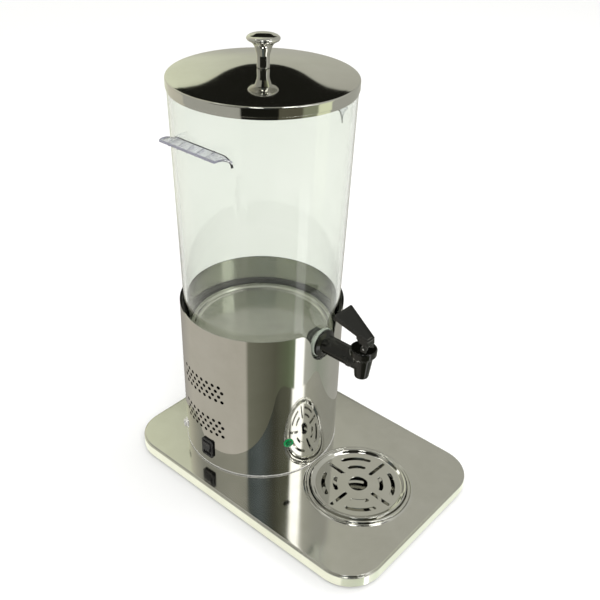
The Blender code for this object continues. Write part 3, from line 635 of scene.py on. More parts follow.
def base_tray():
    """Pressed tray: flat top, small rolled shoulder, straight band and a hemmed lower edge."""
    top, low = BASE.high, BASE.low
    section = filleted([(FLAT_INSET, top), (TOP_INSET, top, 0.9), (TOP_INSET, top - SHOULDER, 0.45),
                        (0.0, top - SHOULDER, 0.8), (0.0, low, 0.45), (SHEET_STEEL, low, 0.45),
                        (SHEET_STEEL, top - SHOULDER - SHEET_STEEL),
                        (TOP_INSET + SHEET_STEEL, top - SHOULDER - SHEET_STEEL),
                        (TOP_INSET + SHEET_STEEL, top - SHEET_STEEL), (FLAT_INSET, top - SHEET_STEEL)])
    skin = Skin()
    rings = [skin.loop(base_outline(inset), z) for inset, z in section]
    skin.stack(rings)
    around = [(CUP.x, CUP.y)]
    swage = [skin.loop(circle(r, ROUND, *around), top + rise) for r, rise in CUP_SWAGE]
    lower = skin.loop(circle(HOLE_RADIUS, ROUND, *around), top - SHEET_STEEL)
    skin.cap([rings[0], swage[0]], True)
    skin.cap([rings[-1], lower], False)
    skin.stack([lower, *reversed(swage)])
    piece("base_tray_pressing", skin.mesh("base_tray"), PLATE_STEEL, "base", ["base_tray"])


def feet():
    for i in range(1, 5):
        foot = Span(f"foot_{i}")
        r = foot.radius
        profile = filleted([(0, foot.high), (r - 1.5, foot.high), (r, foot.high - 0.6, 0.4),
                            (r, 0.9, 0.4), (r - 1.0, 0, 0.5), (4.2, 0, 0.3), (3.4, 1.3, 0.3), (0, 1.3)])
        shape = lathe(profile, at(foot.x, foot.y), 48)
        piece(f"rubber_foot_{i}", shape, RUBBER, "base", [f"foot_{i}"])


def drip_cup():
    """Cup hung in the tray by a rounded bead."""
    r = CUP.radius
    flange = BASE.high + 0.4
    bead_top = CUP.high
    profile = filleted([(r, flange, 0.15), (61.1, flange), (60.9, 19.4, 0.3), (54.6, 19.4, 0.3),
                        (54.6, 9.4, 2.0), (52.4, CUP.low, 2.0), (0, CUP.low), (0, CUP.low + 0.8),
                        (52.0, CUP.low + 0.8, 1.6), (53.8, 9.9, 1.6), (53.8, 20.2, 0.4),
                        (60.4, 20.25, 1.2), (61.9, bead_top, 1.3), (64.7, bead_top, 1.3)], 7)
    piece("drip_cup_bowl", lathe(profile, DRIP), STEEL, "drip_cup", ["drip_cup"])


SLOT_HALF = 2.25
EDGE_BREAK = 0.35
CENTRE_HOLE = 11.8
SPOKE_DEG = 86.4
SPOKE_START = 24.2
SPOKE_END = 48.4
# Radius and half sweep of the arc slots.
ARC_SLOTS = ((29.3, 18.0), (44.0, 22.5))
FLAT_RADIUS = 52.4


def grille_holes(grow):
    """Centre hole, four spokes, and an inner and an outer arc slot in each quarter."""
    half = SLOT_HALF + grow
    loops = [circle(CENTRE_HOLE + grow, 48)]
    for quarter in range(4):
        spoke = 90 * quarter + SPOKE_DEG
        ray = arc(half, 90, 270, 8, (SPOKE_START, 0)) + arc(half, -90, 90, 8, (SPOKE_END, 0))
        loops.append(turned_points(ray, spoke))
        for radius, sweep in ARC_SLOTS:
            tip = (radius * cos(radians(sweep)), radius * sin(radians(sweep)))
            slot = (arc(radius + half, -sweep, sweep, 14)
                    + arc(half, sweep, sweep + 180, 8, tip)[1:-1]
                    + arc(radius - half, sweep, -sweep, 14)
                    + arc(half, 180 - sweep, 360 - sweep, 8, (tip[0], -tip[1]))[1:-1])
            loops.append(turned_points(slot, spoke - 45))
    return loops


def drip_grille():
    """Pressed dish with a rolled rim and rounded slots."""
    span = Span("drip_grille")
    top, low = span.low + 1.0, span.low
    flat, crest, r = FLAT_RADIUS, span.high, span.radius
    skin = Skin()
    upper_face = skin.loop(circle(flat, ROUND), top)
    lower_face = skin.loop(circle(flat, ROUND), low)
    rims = []
    for grow, upper, lower in ((EDGE_BREAK, top, low), (0, top - EDGE_BREAK, low + EDGE_BREAK)):
        rims.append([(skin.loop(points, upper), skin.loop(points, lower))
                     for points in grille_holes(grow)])
    skin.cap([upper_face, *(a for a, _ in rims[0])], True)
    skin.cap([lower_face, *(b for _, b in rims[0])], False)
    for (wide_top, wide_low), (tight_top, tight_low) in zip(*rims):
        skin.bridge(tight_top, wide_top)
        skin.bridge(tight_low, tight_top)
        skin.bridge(wide_low, tight_low)
    wall = filleted([(flat, top), (54.2, top, 3.0), (57.4, crest - 0.6, 2.0), (59.0, crest, 0.9),
                     (r, crest - 0.5, 0.8), (r, crest - 1.6, 0.5), (59.2, crest - 1.9, 0.4),
                     (58.4, crest - 1.1, 1.2), (55.0, low, 2.6), (flat, low)], 7)
    rings = [upper_face, *(skin.loop(circle(x, ROUND), z) for x, z in wall[1:-1]), lower_face]
    skin.stack(rings)
    piece("drip_grille_dish", skin.mesh("grille", DRIP), STEEL, "drip_grille", ["drip_grille"])


# Housing.

WALL = 0.9
SEAM_DEG = 90.0
VENT_RADIUS = 2.45
VENT_BANDS = (141.9, 87.0)
VENT_ROW = 7.0
VENT_COLUMNS = 8
VENT_PITCH = 5.2
VENT_START = 192.1
VENT_STAGGER = 2.6
SWITCH_WINDOW = (7.4, 11.4)
LAMP_HOLE = 4.8
INLET_HOLE = 5.4
# The bead at the housing's foot: how far it stands out, and its height.
BEAD_OUT = 0.45
BEAD_HIGH = 1.6
NOTCH_RADIUS = 21.0
NOTCH_FLARE = ((21.3, -20.8), (22.2, -15.8), (24.0, -11.0), (26.6, -6.6), (29.4, -3.2), (32.4, -1.0),
               (35.4, 0.0))


def arc_length(azimuth, radius):
    """Distance along the sheet from the seam to an azimuth."""
    return ((azimuth - SEAM_DEG) % 360) / 360 * 2 * pi * radius


def notch_points(radius, top):
    """The U notch for the tap, from its left end to its right end along the rim."""
    def on_sheet(across):
        return arc_length(-90 + degrees(across / radius), radius)

    flare = [(x, top + z) for x, z in spline(NOTCH_FLARE, 3)]
    bottom = arc(NOTCH_RADIUS, 180, 360, 24, (0, top - 23.8))
    points = [(-x, z) for x, z in reversed(flare)] + bottom + flare
    return [(on_sheet(x), min(z, top)) for x, z in points]


def vent_centres():
    for left in (True, False):
        for band in VENT_BANDS:
            for row in range(4):
                for column in range(VENT_COLUMNS):
                    azimuth = VENT_START - VENT_PITCH * column + (VENT_STAGGER if row % 2 else 0)
                    yield (azimuth if left else 180 - azimuth), band - VENT_ROW * (row - 1.5)


def housing_shell():
    r = HOUSING.radius
    top, low = HOUSING.high, HOUSING.low
    full = 2 * pi * r
    outline = [(0, low), (full, low), (full, top), *reversed(notch_points(r, top)), (0, top)]
    holes = [circle(VENT_RADIUS, 16, (arc_length(a, r), z)) for a, z in vent_centres()]
    switch = Span("switch_frame")
    side = arc_length(180, r) - (switch.y - HOUSING.y)
    w, h = SWITCH_WINDOW
    holes.append([(side + x, switch.z + z) for x, z in ((-w, -h), (w, -h), (w, h), (-w, h))])
    for node, size in (("lamp_lens", LAMP_HOLE), ("inlet_socket", INLET_HOLE)):
        part = Span(node)
        azimuth = degrees(atan2(part.y - HOUSING.y, part.x - HOUSING.x))
        holes.append(circle(size, 24, (arc_length(azimuth, r), part.z)))
    skin = rolled_sheet(outline, holes, lambda height: r, WALL, SEAM_DEG)
    data = skin.mesh("housing", TOWER)
    true_round(data, HOUSING.x, HOUSING.y)
    piece("housing_sheet", data, STEEL, "base", ["housing_shell"], even=False)
    out, foot, top = r + BEAD_OUT, low + 0.1, low + BEAD_HIGH
    bead = filleted([(out, top, 0.4), (out, foot, 0.4), (r + 0.02, foot), (r + 0.02, top)])
    piece("housing_foot_bead", lathe(bead, TOWER, 192), NICKEL, "base")


def chamfered(width, height, cut_off):
    w, h = width / 2, height / 2
    return [(w, h - cut_off), (w - cut_off, h), (cut_off - w, h), (-w, h - cut_off),
            (-w, cut_off - h), (cut_off - w, -h), (w - cut_off, -h), (w, cut_off - h)]


def switch():
    """Rocker switch: bevelled bezel with a sunk window, and a rocker with two hollow faces."""
    span = Span("switch_frame")
    place = at(HOUSING.x, span.y, span.z) @ FACING_SIDE
    face = -span.x0
    window = filleted([(x, z, 0.8) for x, z in ((6.5, 10.5), (-6.5, 10.5), (-6.5, -10.5), (6.5, -10.5))])
    bezel = slab(chamfered(19, 27, 2.2), -face, -face + 2.2, place, 0.55, [window])
    sleeve = slab([(7.1, 11.1), (-7.1, 11.1), (-7.1, -11.1), (7.1, -11.1)], -face + 1.2, -80, place)
    pocket = slab(window, -face - 5, -88, place)
    data = combined(bezel, [sleeve], [pocket])
    piece("switch_bezel", data, BLACK, "base", ["switch_frame"])

    upper = spline([(-5.2, 9.2), (-6.3, 5.0), (-8.5, 0.6)], 5)
    lower = spline([(-8.5, 0.2), (-6.3, -4.6), (-5.2, -9.2)], 5)
    outline = [*upper, *lower, (1.0, -9.2), (4.6, -4.5), (4.6, 4.5), (1.0, 9.2)]
    rocker = slab(turned_points(outline, 7), -6.1, 6.1, ROCKER_PIVOT @ FACING_FRONT, 0.35)
    piece("switch_rocker_cap", rocker, ROCKER, "switch_rocker", ["switch_rocker"])


def pilot_lamp():
    place = outward("lamp_lens")
    front = HOUSING.radius + 0.4
    bezel = filleted([(6.4, front + 1.5, 0.7), (6.4, front, 0.1), (4.4, front), (4.4, 94), (3.6, 94),
                      (3.6, front + 0.8), (4.9, front + 2.2, 0.5)])
    piece("lamp_bezel", lathe(bezel, place, 64), LAMP, "base", ["lamp_lens"])
    dome = arc(12.0, 90, 73.2, 10, (0, front - 8.7)) + [(3.45, front + 1.0), (3.45, 94.2), (0, 94.2)]
    piece("lamp_dome", lathe(dome, place, 64), LENS, "base")


def power_inlet():
    place = outward("inlet_socket")
    front = HOUSING.radius + 0.5
    socket = filleted([(5.0, front + 4.8, 0.4), (5.0, front + 1.8, 0.3), (6.2, front + 1.8),
                       (7.4, front + 1.3, 0.5), (7.4, front, 0.2), (5.0, front), (5.0, 90), (0, 90),
                       (0, 95), (3.4, 95, 0.2), (3.4, front + 4.8, 0.4)])
    piece("inlet_barrel", lathe(socket, place, 64), NICKEL, "base", ["inlet_socket"])
    pin = filleted([(0, front + 3.2), (1.1, front + 3.2, 0.5), (1.1, 95.3), (0, 95.3)])
    piece("inlet_centre_pin", lathe(pin, place, 24), BRASS, "base", ["inlet_pin"])


# Under the container.

def turned_ring(node, name, mat, edge, inner=0):
    """A plain ring or disc of the tower, turned finely with broken edges."""
    span = Span(node)
    corners = [(span.radius, span.high, edge), (span.radius, span.low, edge)]
    if inner:
        corners += [(inner, span.low, edge), (inner, span.high, edge)]
    else:
        corners = [(0, span.high), *corners, (0, span.low)]
    piece(name, lathe(filleted(corners), TOWER, 96), mat, "base", [node])


# Container.

TUBE = Span("container_tube")
TUBE_TAPER = 6.2
TUBE_WALL = 4.0
TAP_Z = 206.0
TAP_HOLE = 8.6
PAN_FLOOR = 188.0


def tube_radius(height):
    share = (height - TUBE.low) / (TUBE.high - TUBE.low)
    return TUBE.radius - TUBE_TAPER * (1 - share)


def container_tube():
    full = 2 * pi * TUBE.radius
    across = arc_length(-90, TUBE.radius)
    tap_hole = [(across + x * TUBE.radius / tube_radius(TAP_Z), TAP_Z + z) for x, z in circle(TAP_HOLE, 32)]
    rows = [(0, TUBE.low), (full, TUBE.low), (full, TUBE.high), (0, TUBE.high)]
    skin = rolled_sheet(rows, [tap_hole], tube_radius, TUBE_WALL, SEAM_DEG)
    data = skin.mesh("tube", TOWER)
    true_round(data, HOUSING.x, HOUSING.y, TUBE_TAPER / (TUBE.high - TUBE.low))
    piece("container_wall", data, CLEAR, "container", ["container_tube"], even=False)


def container_pan():
    """Floor pan: dished floor, raised bead and a turned-down edge inside the tube."""
    span = Span("container_pan")
    rim = span.radius
    ledge, floor = span.high, PAN_FLOOR
    profile = filleted([(rim, ledge, 0.4), (rim, span.low, 0.2), (rim - 0.9, span.low, 0.2),
                        (rim - 0.9, ledge - 0.9, 0.4), (84.4, ledge - 0.9, 1.5), (81.4, floor - 1, 1.5),
                        (0, floor - 1), (0, floor), (79.6, floor, 1.2), (81.4, floor + 1.6, 1.4),
                        (82.8, floor + 1.7, 0.8), (84.6, ledge, 1.6)], 6)
    piece("container_floor", lathe(profile, TOWER), PAN_STEEL, "container", ["container_pan"])


HANDLE_SKIN = 2.0
HANDLE_CORNER = 10.0
HANDLE_ARCH = 6.0
HANDLE_DROP = 4.0
HANDLE_LEVEL_STEPS = 7
HANDLE_TURN_STEPS = 14
RIB_HALF = 0.8
RIB_PITCH = 13.0


def tube_shell(clearance, steps=288):
    """Solid plug of the tube's outer shape, grown by a clearance."""
    top, low = tube_radius(TUBE.high) + clearance, tube_radius(TUBE.low) + clearance
    return lathe([(0, TUBE.high), (top, TUBE.high), (low, TUBE.low), (0, TUBE.low)], TOWER, steps)


def closing(end):
    """How far a hood has closed to the wall, from its level part (0) to its tip (1)."""
    t = max(0.0, (end - 0.35) / 0.65)
    return t * t * (3 - 2 * t)


class HandlePath:
    """Line of a hood along the tube: level on top, turning down round a corner at each end."""

    def __init__(self, node, side):
        span = Span(node)
        self.side = side
        self.half = (span.y1 - span.y0) / 2
        self.reach = max(abs(span.x0), abs(span.x1)) - HOUSING.x
        self.high = span.high
        flat = self.half - HANDLE_CORNER
        steps = range(HANDLE_LEVEL_STEPS, -HANDLE_LEVEL_STEPS - 1, -1)
        stations = [(flat * i / HANDLE_LEVEL_STEPS, 0.0, 0.0, 1.0, 0.0) for i in steps]
        ends = []
        for i in range(1, HANDLE_TURN_STEPS + 1):
            share = i / HANDLE_TURN_STEPS
            across, up = sin(radians(90) * share), cos(radians(90) * share)
            ends.append((flat + HANDLE_CORNER * across, HANDLE_CORNER * (up - 1), across, up, share))
        rear = [(y, z, ny, nz, end) for y, z, ny, nz, end in reversed(ends)]
        front = [(-y, z, -ny, nz, end) for y, z, ny, nz, end in ends]
        self.stations = rear + stations + front
        self.level = len(rear)

    def section(self, station, points):
        """Points (outward, normal, hold) at a station, measured from the tube's wall.

        A point with hold 1 stays level while the hood's line turns down beside it.
        """
        y, z, ny, nz, end = station
        placed = []
        for out, rise, hold in points:
            level = hold * (1 - closing(end))
            across = y + ny * rise * (1 - level)
            arch = HANDLE_ARCH * (y / self.half) ** 2 * (1 - hold)
            height = self.high + z * (1 - level) + rise * (nz + (1 - nz) * level) - arch
            wall = (tube_radius(height) ** 2 - across ** 2) ** 0.5
            placed.append((self.side * (wall + out), across, height))
        return placed

    def depth(self, station):
        """How far the lip stands off the wall: full on top, closing to the wall at the ends."""
        y, _, _, _, end = station
        wall = (tube_radius(self.high) ** 2 - y ** 2) ** 0.5
        share = 1 - closing(end)
        return 1.2 + (self.reach - 1.3 - wall - 1.2) * share, share


def handle(node, suffix, side):
    """Moulded hood on the tube's wall that slopes to a thick lip, with ribs and a bond line."""
    path = HandlePath(node, side)
    skins, lips, bonds = [], [], []
    for station in path.stations:
        out, share = path.depth(station)
        drop = HANDLE_DROP * share
        middle, under = drop * 0.35, HANDLE_SKIN + 0.2
        upper = [(0.05, -0.3, 0), (out * 0.5, -0.3 - middle, 0.5), (out, -drop - 0.3, 1)]
        lower = [(out, -drop - HANDLE_SKIN, 1), (out * 0.5, -under - middle, 0.5), (0.05, -under, 0)]
        skins.append(path.section(station, upper + lower))
        size = 0.55 + 0.75 * share
        ring = circle(size, 12, (out - size * 0.2, -drop - size))
        lips.append(path.section(station, [(x, z, 1) for x, z in ring]))
    for station in path.stations[path.level:]:
        width = 0.9 + 1.1 * station[4]
        strip = filleted([(0.03, 0), (width, 0, 0.3), (width, -1.3, 0.3), (0.03, -1.3)], 2)
        bonds.append(path.section(station, [(x, z, 0) for x, z in strip]))
    ribs = []
    for i in range(-2, 3):
        y = RIB_PITCH * i
        wall = (tube_radius(path.high) ** 2 - y ** 2) ** 0.5
        tip = path.reach - 1.6
        rib = [(side * x, z) for x, z in ((wall + 0.4, -1.2), (wall + 0.4, -6.0), (tip, -HANDLE_DROP - 3.4),
                                          (tip, -HANDLE_DROP - 0.8))]
        ribs.append(slab(rib[::side], -RIB_HALF, RIB_HALF, at(0, y, path.high) @ FACING_FRONT))
    hood = combined(swept(skins), ribs)
    hood.transform(TOWER_METRES)
    piece("handle_hood_" + suffix, hood, HOOD, "container", [node])
    piece("handle_lip_" + suffix, swept(lips, TOWER), LIP, "container")
    piece("handle_bond_" + suffix, swept(bonds, TOWER), BLACK, "container")


# Tap.

TAP_AXIS = at(HOUSING.x, HOUSING.y, TAP_Z) @ FACING_FRONT
HINGE_BORE = 1.5
# Radii of the tap's parts, and distances along its axis from the tower's.
TAP_BARREL = 10.7
TAP_FLANGE = 17.0
TAP_SHANK = 8.0
TAP_BORE = 5.6
FITTING_BORE = 8.4
NUT_RADIUS = 13.9
FLANGE_BACK = 98.5
SHANK_END = 79.0
NUT_NEAR = 80.0
NUT_FAR = 87.8


def tap_body():
    span = Span("tap_body")
    reach = HOUSING.y - Span("tap_stem").y
    low, high = span.low, span.high
    spout = filleted([(0, high), (13.0, high, 0.5), (12.7, 216.5, 0.6), (11.6, 214.6, 0.6),
                      (8.4, low + 1.2, 1.0), (7.9, low, 0.5), (0, low)])
    shank = filleted([(0, reach), (TAP_BARREL, reach), (TAP_BARREL, FLANGE_BACK + 5.1, 2.0),
                      (TAP_FLANGE, FLANGE_BACK + 3, 0.7), (TAP_FLANGE, FLANGE_BACK, 0.5),
                      (TAP_SHANK, FLANGE_BACK), (TAP_SHANK, SHANK_END, 0.5), (0, SHANK_END)])
    collar = filleted([(11.4, reach - 14, 0.5), (11.4, reach - 17.5, 0.5), (9, reach - 17.5),
                       (9, reach - 14)])
    ridge = [slab(filleted([(x - 1.1, 8.5), (x + 1.1, 8.5), (x + 1.1, 11.1, 0.6), (x - 1.1, 11.1, 0.6)]),
                  104, reach - 8, TAP_AXIS) for x in (-4.6, 4.6)]
    pieces = [lathe(shank, TAP_AXIS, 96), lathe(collar, TAP_AXIS, 96), *ridge]
    chamber = plug(9.4, 200, 230, SPOUT)
    outlet = plug(6.4, 180, 202, SPOUT)
    bore = plug(TAP_BORE, SHANK_END - 9, reach, TAP_AXIS)
    data = combined(lathe(spout, SPOUT, 96), pieces, [chamber, outlet, bore])
    piece("tap_casting", data, TAP_BLACK, "container", ["tap_body"])


def tap_fixing():
    """Gasket shaped to the tube's outside, and washer and nut on its inside."""
    bore, face = FITTING_BORE, FLANGE_BACK - 0.3
    ring = filleted([(17.8, face, 0.8), (17.8, 90, 0.4), (bore, 90), (bore, face, 0.3)])
    gasket = combined(lathe(ring, TAP_AXIS, 96), [], [tube_shell(0.2)])
    piece("tap_gasket_ring", gasket, SILICONE, "container", ["tap_gasket"])
    washer = filleted([(13, 89.3, 0.3), (13, 88.1, 0.3), (bore, 88.1, 0.2), (bore, 89.3, 0.2)])
    piece("tap_washer_ring", lathe(washer, TAP_AXIS, 96), ZINC, "container", ["tap_washer"])
    hexagon = slab(circle(NUT_RADIUS, 6), NUT_NEAR, NUT_FAR, TAP_AXIS, 0.3)
    trims = []
    for end, way in ((NUT_FAR, 1), (NUT_NEAR, -1)):
        bevel = [(15.0, end + way), (11.9, end + way), (12.2, end), (14.6, end - way * 1.5),
                 (15.0, end - way * 1.5)]
        trims.append(lathe(bevel[::way], TAP_AXIS, 96))
    hole = plug(bore, 70, 95, TAP_AXIS)
    piece("tap_hex_nut", combined(hexagon, [], [hole, *trims]), TAP_BLACK, "container", ["tap_nut"])


def hinge_plates(outline, inner, outer, edge):
    """Two mirrored plates across the lever's pin."""
    return [slab(outline, low, high, HINGE, edge) for low, high in ((-outer, -inner), (inner, outer))]


def tap_bonnet():
    """Screw cap with two ears for the lever's pin."""
    span = Span("tap_bonnet")
    low = span.low
    top = low + 8.2
    cap = filleted([(14.4, top, 0.9), (15.6, top - 1.2, 0.9), (15.4, low, 0.4), (9.0, low),
                    (9.0, top - 4.5), (2.9, top - 4.5), (2.9, top, 0.3)])
    ear = filleted([*arc(3.4, 0, 180, 16), (-3.4, -5.5), (3.4, -5.5)])
    ears = hinge_plates(ear, 6.0, 8.4, 0.3)
    hole = plug(HINGE_BORE, -12, 12, HINGE, 32)
    data = combined(lathe(cap, SPOUT, 96), ears, [hole])
    piece("tap_bonnet_cap", data, TAP_BLACK, "container", ["tap_bonnet"])
    pin = filleted([(0, 8.2), (1.2, 8.2, 0.3), (1.2, -8.2, 0.3), (0, -8.2)])
    piece("lever_hinge_pin", lathe(pin, HINGE, 32), ZINC, "container", ["lever_pin"])


def tap_lever():
    """Paddle with a sunk face and a raised rim, on two cheeks that turn on the pin."""
    lean = LEVER_PIVOT @ at(0, 0, 14.5) @ Matrix.Rotation(radians(25), 4, "X")
    paddle = filleted([(-5.6, -6.0, 1.5), (5.6, -6.0, 1.5), (16.0, 41.6, 1.6), (-16.0, 41.6, 1.6)])
    blade = slab(paddle, -5.4, 0, lean, 0.5)

    def dish(grow, z):
        foot, head = 3.3 + grow, 13.5 + grow
        low, high = -2.4 - grow, 39.1 + grow
        corners = [(-foot, low, 1.0), (foot, low, 1.0), (head, high, 1.0), (-head, high, 1.0)]
        return [(x, y, z) for x, y in filleted(corners)]

    sunk = loft([dish(1.7, 0.6), dish(0.0, -1.8)], lean)
    cheek = [*arc(3.2, 180, 360, 16), (4.4, 4.5), (12.0, 10.0), (12.0, 16.0), (-4.6, 9.6)]
    cheeks = hinge_plates(cheek, 3.2, 5.6, 0.25)
    neck = filleted([(-4.8, 3.9, 0.6), (7.0, 3.9, 1.0), (11.9, 8.6, 1.0), (11.9, 16.4), (-4.4, 9.4)])
    block = slab(neck, -6.4, 6.4, HINGE, 0.4)
    bore = plug(HINGE_BORE, -12, 12, HINGE, 32)
    data = combined(blade, [*cheeks, block], [sunk, bore])
    piece("tap_paddle", data, TAP_BLACK, "tap_lever", ["tap_lever"])


def tap_valve():
    """White stem with a soft seat cup at its foot."""
    stem = Span("tap_stem")
    profile = filleted([(0, stem.high), (2.2, stem.high, 0.5), (2.4, stem.low, 0.2), (0, stem.low)])
    piece("valve_stem", lathe(profile, SPOUT, 32), WHITE, "tap_valve", ["tap_stem"])
    seat = Span("tap_seat_cup")
    cup = filleted([(0, seat.high), (5.4, seat.high, 0.6), (8.6, seat.high - 2.2, 0.6),
                    (8.6, seat.low, 0.5), (0, seat.low)])
    piece("valve_seat_cup", lathe(cup, SPOUT, 64), SILICONE, "tap_valve", ["tap_seat_cup"])


SPRING_WIRE = 0.5
SPRING_RADIUS = 4.4
# Share of the spring's height in the closed turn at each end.
CLOSED_SHARE = 0.07


def tap_spring():
    """Coil spring with a closed turn at each end."""
    span = Span("tap_spring")
    low, high = span.low + SPRING_WIRE, span.high - SPRING_WIRE
    turns, per_turn = 6, 24
    curve = bpy.data.curves.new("spring", "CURVE")
    curve.dimensions = "3D"
    curve.bevel_depth = SPRING_WIRE
    curve.bevel_resolution = 2
    curve.use_fill_caps = True
    part = curve.splines.new("POLY")
    part.points.add(turns * per_turn)
    dead = 1 / turns
    for i, point in enumerate(part.points):
        share = i / (turns * per_turn)
        rise = min(max((share - dead) / (1 - 2 * dead), 0), 1)
        closed = (min(share, dead) + max(share - 1 + dead, 0)) / dead
        z = low + (high - low) * (CLOSED_SHARE * closed + (1 - 2 * CLOSED_SHARE) * rise)
        angle = 2 * pi * i / per_turn
        point.co = (SPRING_RADIUS * cos(angle), SPRING_RADIUS * sin(angle), z, 1)
    coil = piece("valve_spring", curve_mesh(curve, SPOUT), SPRING, "container", ["tap_spring"])
    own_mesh(coil)


# Lid.

SKIRT_HEIGHT = 12.3
LID_SHEET = 0.8
KNOB_HOLE = 2.6


def lid():
    """Spun lid: shallow dome, small rounded edge and a straight skirt with a hem."""
    span = Span("lid_cover")
    r, low, peak = span.radius, span.low, span.high
    edge = low + SKIRT_HEIGHT
    sheet, hole = LID_SHEET, KNOB_HOLE
    dome = spline([(0, peak), (22, peak - 0.42), (45, peak - 1.6), (64, peak - 3.1), (80, peak - 4.7),
                   (92, peak - 6.05), (98.6, peak - 6.9)], 6)
    outer = dome + filleted([(98.6, peak - 6.9), (r, edge, 1.9), (r, low, 0.35)], 8)[1:]
    inner = [(r - sheet, low), (r - sheet, edge - 1.2), *[(x, z - sheet) for x, z in reversed(dome)]]
    outer = [(hole, outer[0][1]), *[p for p in outer if p[0] > hole]]
    inner = [*[p for p in inner if p[0] > hole], (hole, peak - sheet)]
    piece("lid_dome", lathe(outer + inner, TOWER, 192), STEEL, "lid", ["lid_cover"])


def lid_knob():
    span = Span("lid_knob")
    top, foot = span.high, span.low
    crown = spline([(0, top), (7, top - 0.2), (12, top - 0.9), (15.2, top - 1.9), (17.0, top - 3.2)], 6)
    edge = spline([(17.0, top - 3.2), (17.6, top - 4.6), (16.6, top - 6.2)], 4)[1:]
    neck = spline([(16.6, top - 6.2), (12.2, top - 8.8), (9.6, top - 12.2), (8.1, top - 17.0),
                   (6.9, top - 21.5), (6.7, top - 27.0), (6.8, foot + 0.8)], 6)[1:]
    bore = [(6.6, foot), (2.3, foot), (2.3, foot + 12), (0, foot + 12)]
    piece("lid_knob_turned", lathe(crown + edge + neck + bore, TOWER, 128), STEEL, "lid", ["lid_knob"])


# Carried-over nodes.

CARRIED = {
    SHEET: ("base_bottom_plate", "housing_foot_ring", "deck_plate"),
    ALUMINIUM: ("heat_sink",),
    ZINC: ("board_bracket", "knob_screw", *(f"housing_screw_{i}" for i in range(1, 5)),
           *(f"fan_screw_{i}" for i in range(1, 5))),
    NICKEL: ("inlet_nut",),
    BRASS: ("switch_terminals",),
    BLACK: ("fan_frame", "lamp_body", "power_module", "temperature_sensor"),
    BLADE: ("fan_rotor",),
    CERAMIC: ("cooling_module",),
    BOARD: ("control_board",),
    BLUE: ("capacitor",),
    RED: ("wire_power", "wire_switch"),
    LEAD: ("wire_fan",),
    SILICONE: ("pan_seal",),
}


def carry_over():
    for mat, names in CARRIED.items():
        for name in names:
            obj = frame["nodes"][name]
            obj.data.materials.clear()
            obj.data.materials.append(mat)


# Studio.

# Colours that mirror metal sees, and where they lie: stops are (degrees from +X, colour).
WARM = (0.57, 0.54, 0.47)
OLIVE_EDGE = (0.21, 0.21, 0.16)
OLIVE = (0.12, 0.12, 0.085)
GREEN = (0.21, 0.26, 0.16)
STRIP = (1.7, 1.7, 1.65)
OLIVE_NEAR = (0.17, 0.175, 0.125)
STRIP_HIGH = (2.7, 2.7, 2.65)
GREY = (0.46, 0.46, 0.41)
DARK_OLIVE = (0.12, 0.115, 0.08)
BLACK_CARD = (0.012, 0.012, 0.009)
PALE = (0.50, 0.495, 0.43)
PATCH = (0.9, 0.95, 0.66)
BLUE_GREY = (0.10, 0.12, 0.12)
OLIVE_LOW = (0.15, 0.152, 0.115)
LOW_BANDS = [(-180, WARM), (-160, WARM), (-156, OLIVE_EDGE), (-118, OLIVE), (-100, (0.14, 0.165, 0.10)),
             (-90, GREEN), (-88, STRIP), (-76, STRIP), (-73, (0.56, 0.56, 0.5)), (-49, (0.36, 0.39, 0.32)),
             (-20, (0.45, 0.45, 0.40)), (60, (0.35, 0.33, 0.3)), (100, WARM), (180, WARM)]
SKIRT_BANDS = [(-180, GREY), (-163.5, GREY), (-162, BLACK_CARD), (-119.5, BLACK_CARD), (-118.5, DARK_OLIVE),
               (-91, DARK_OLIVE), (-89, (0.3, 0.32, 0.22)), (-71, (0.3, 0.32, 0.22)), (-69, PATCH),
               (-51, PATCH), (-49.5, GREY), (10, GREY), (30, PALE), (46, PALE), (62, (0.78, 0.80, 0.62)),
               (87, (0.67, 0.64, 0.53)), (117, (0.62, 0.60, 0.5)), (119, GREY), (180, GREY)]
HIGH_BANDS = [(-180, PALE), (-160, PALE), (-157, BLUE_GREY), (-140, (0.16, 0.19, 0.20)),
              (-118, (0.095, 0.095, 0.072)), (-109, OLIVE_LOW), (-95, OLIVE_NEAR), (-93, OLIVE_NEAR),
              (-90.5, STRIP_HIGH), (-74, STRIP_HIGH), (-71, (0.68, 0.68, 0.60)), (-40, (0.56, 0.56, 0.51)),
              (10, GREY), (30, PALE), (42, (0.54, 0.54, 0.45)), (56, (0.85, 0.88, 0.66)),
              (87, (0.72, 0.70, 0.58)), (119, GREY), (180, PALE)]

# The ceiling, in degrees: a dark gap with a notch in its lower edge, a white ring and the zenith.
GAP_AZIMUTH = 43
GAP_HALF = 17
GAP_LOW = 14
GAP_HIGH = 38
GAP_NOTCH = 9.5
RING_LOW = 60
RING = (1.2, 1.2, 1.15)
ZENITH_LOW = 63
ZENITH = (0.34, 0.34, 0.30)

# Dark cards on the camera's side, small lamps, and the light behind the clear wall.
NEAR_AZIMUTH = -137
NEAR_CARD = (0.02, 0.02, 0.016)
SMALL_LAMP = (11.0, 11.0, 10.6)
VEIL = (0.92, 0.92, 0.84)

# What the camera and matt surfaces see, the card that only the tray mirrors, and the floor.
FAR_FLOOR = (0.939, 0.939, 0.922)
DAYLIGHT = (1.0, 1.0, 0.99)
CARD_COLOR = (0.94, 1.0, 0.82)
CARD_STRENGTH = 0.78
CARD_REACH = 20
CARD_HEIGHT = 0.2
FLOOR_RADIUS = 400000

# Where the lamps point, in metres.
LAMP_AIM = Vector((0, 0, 0.2))


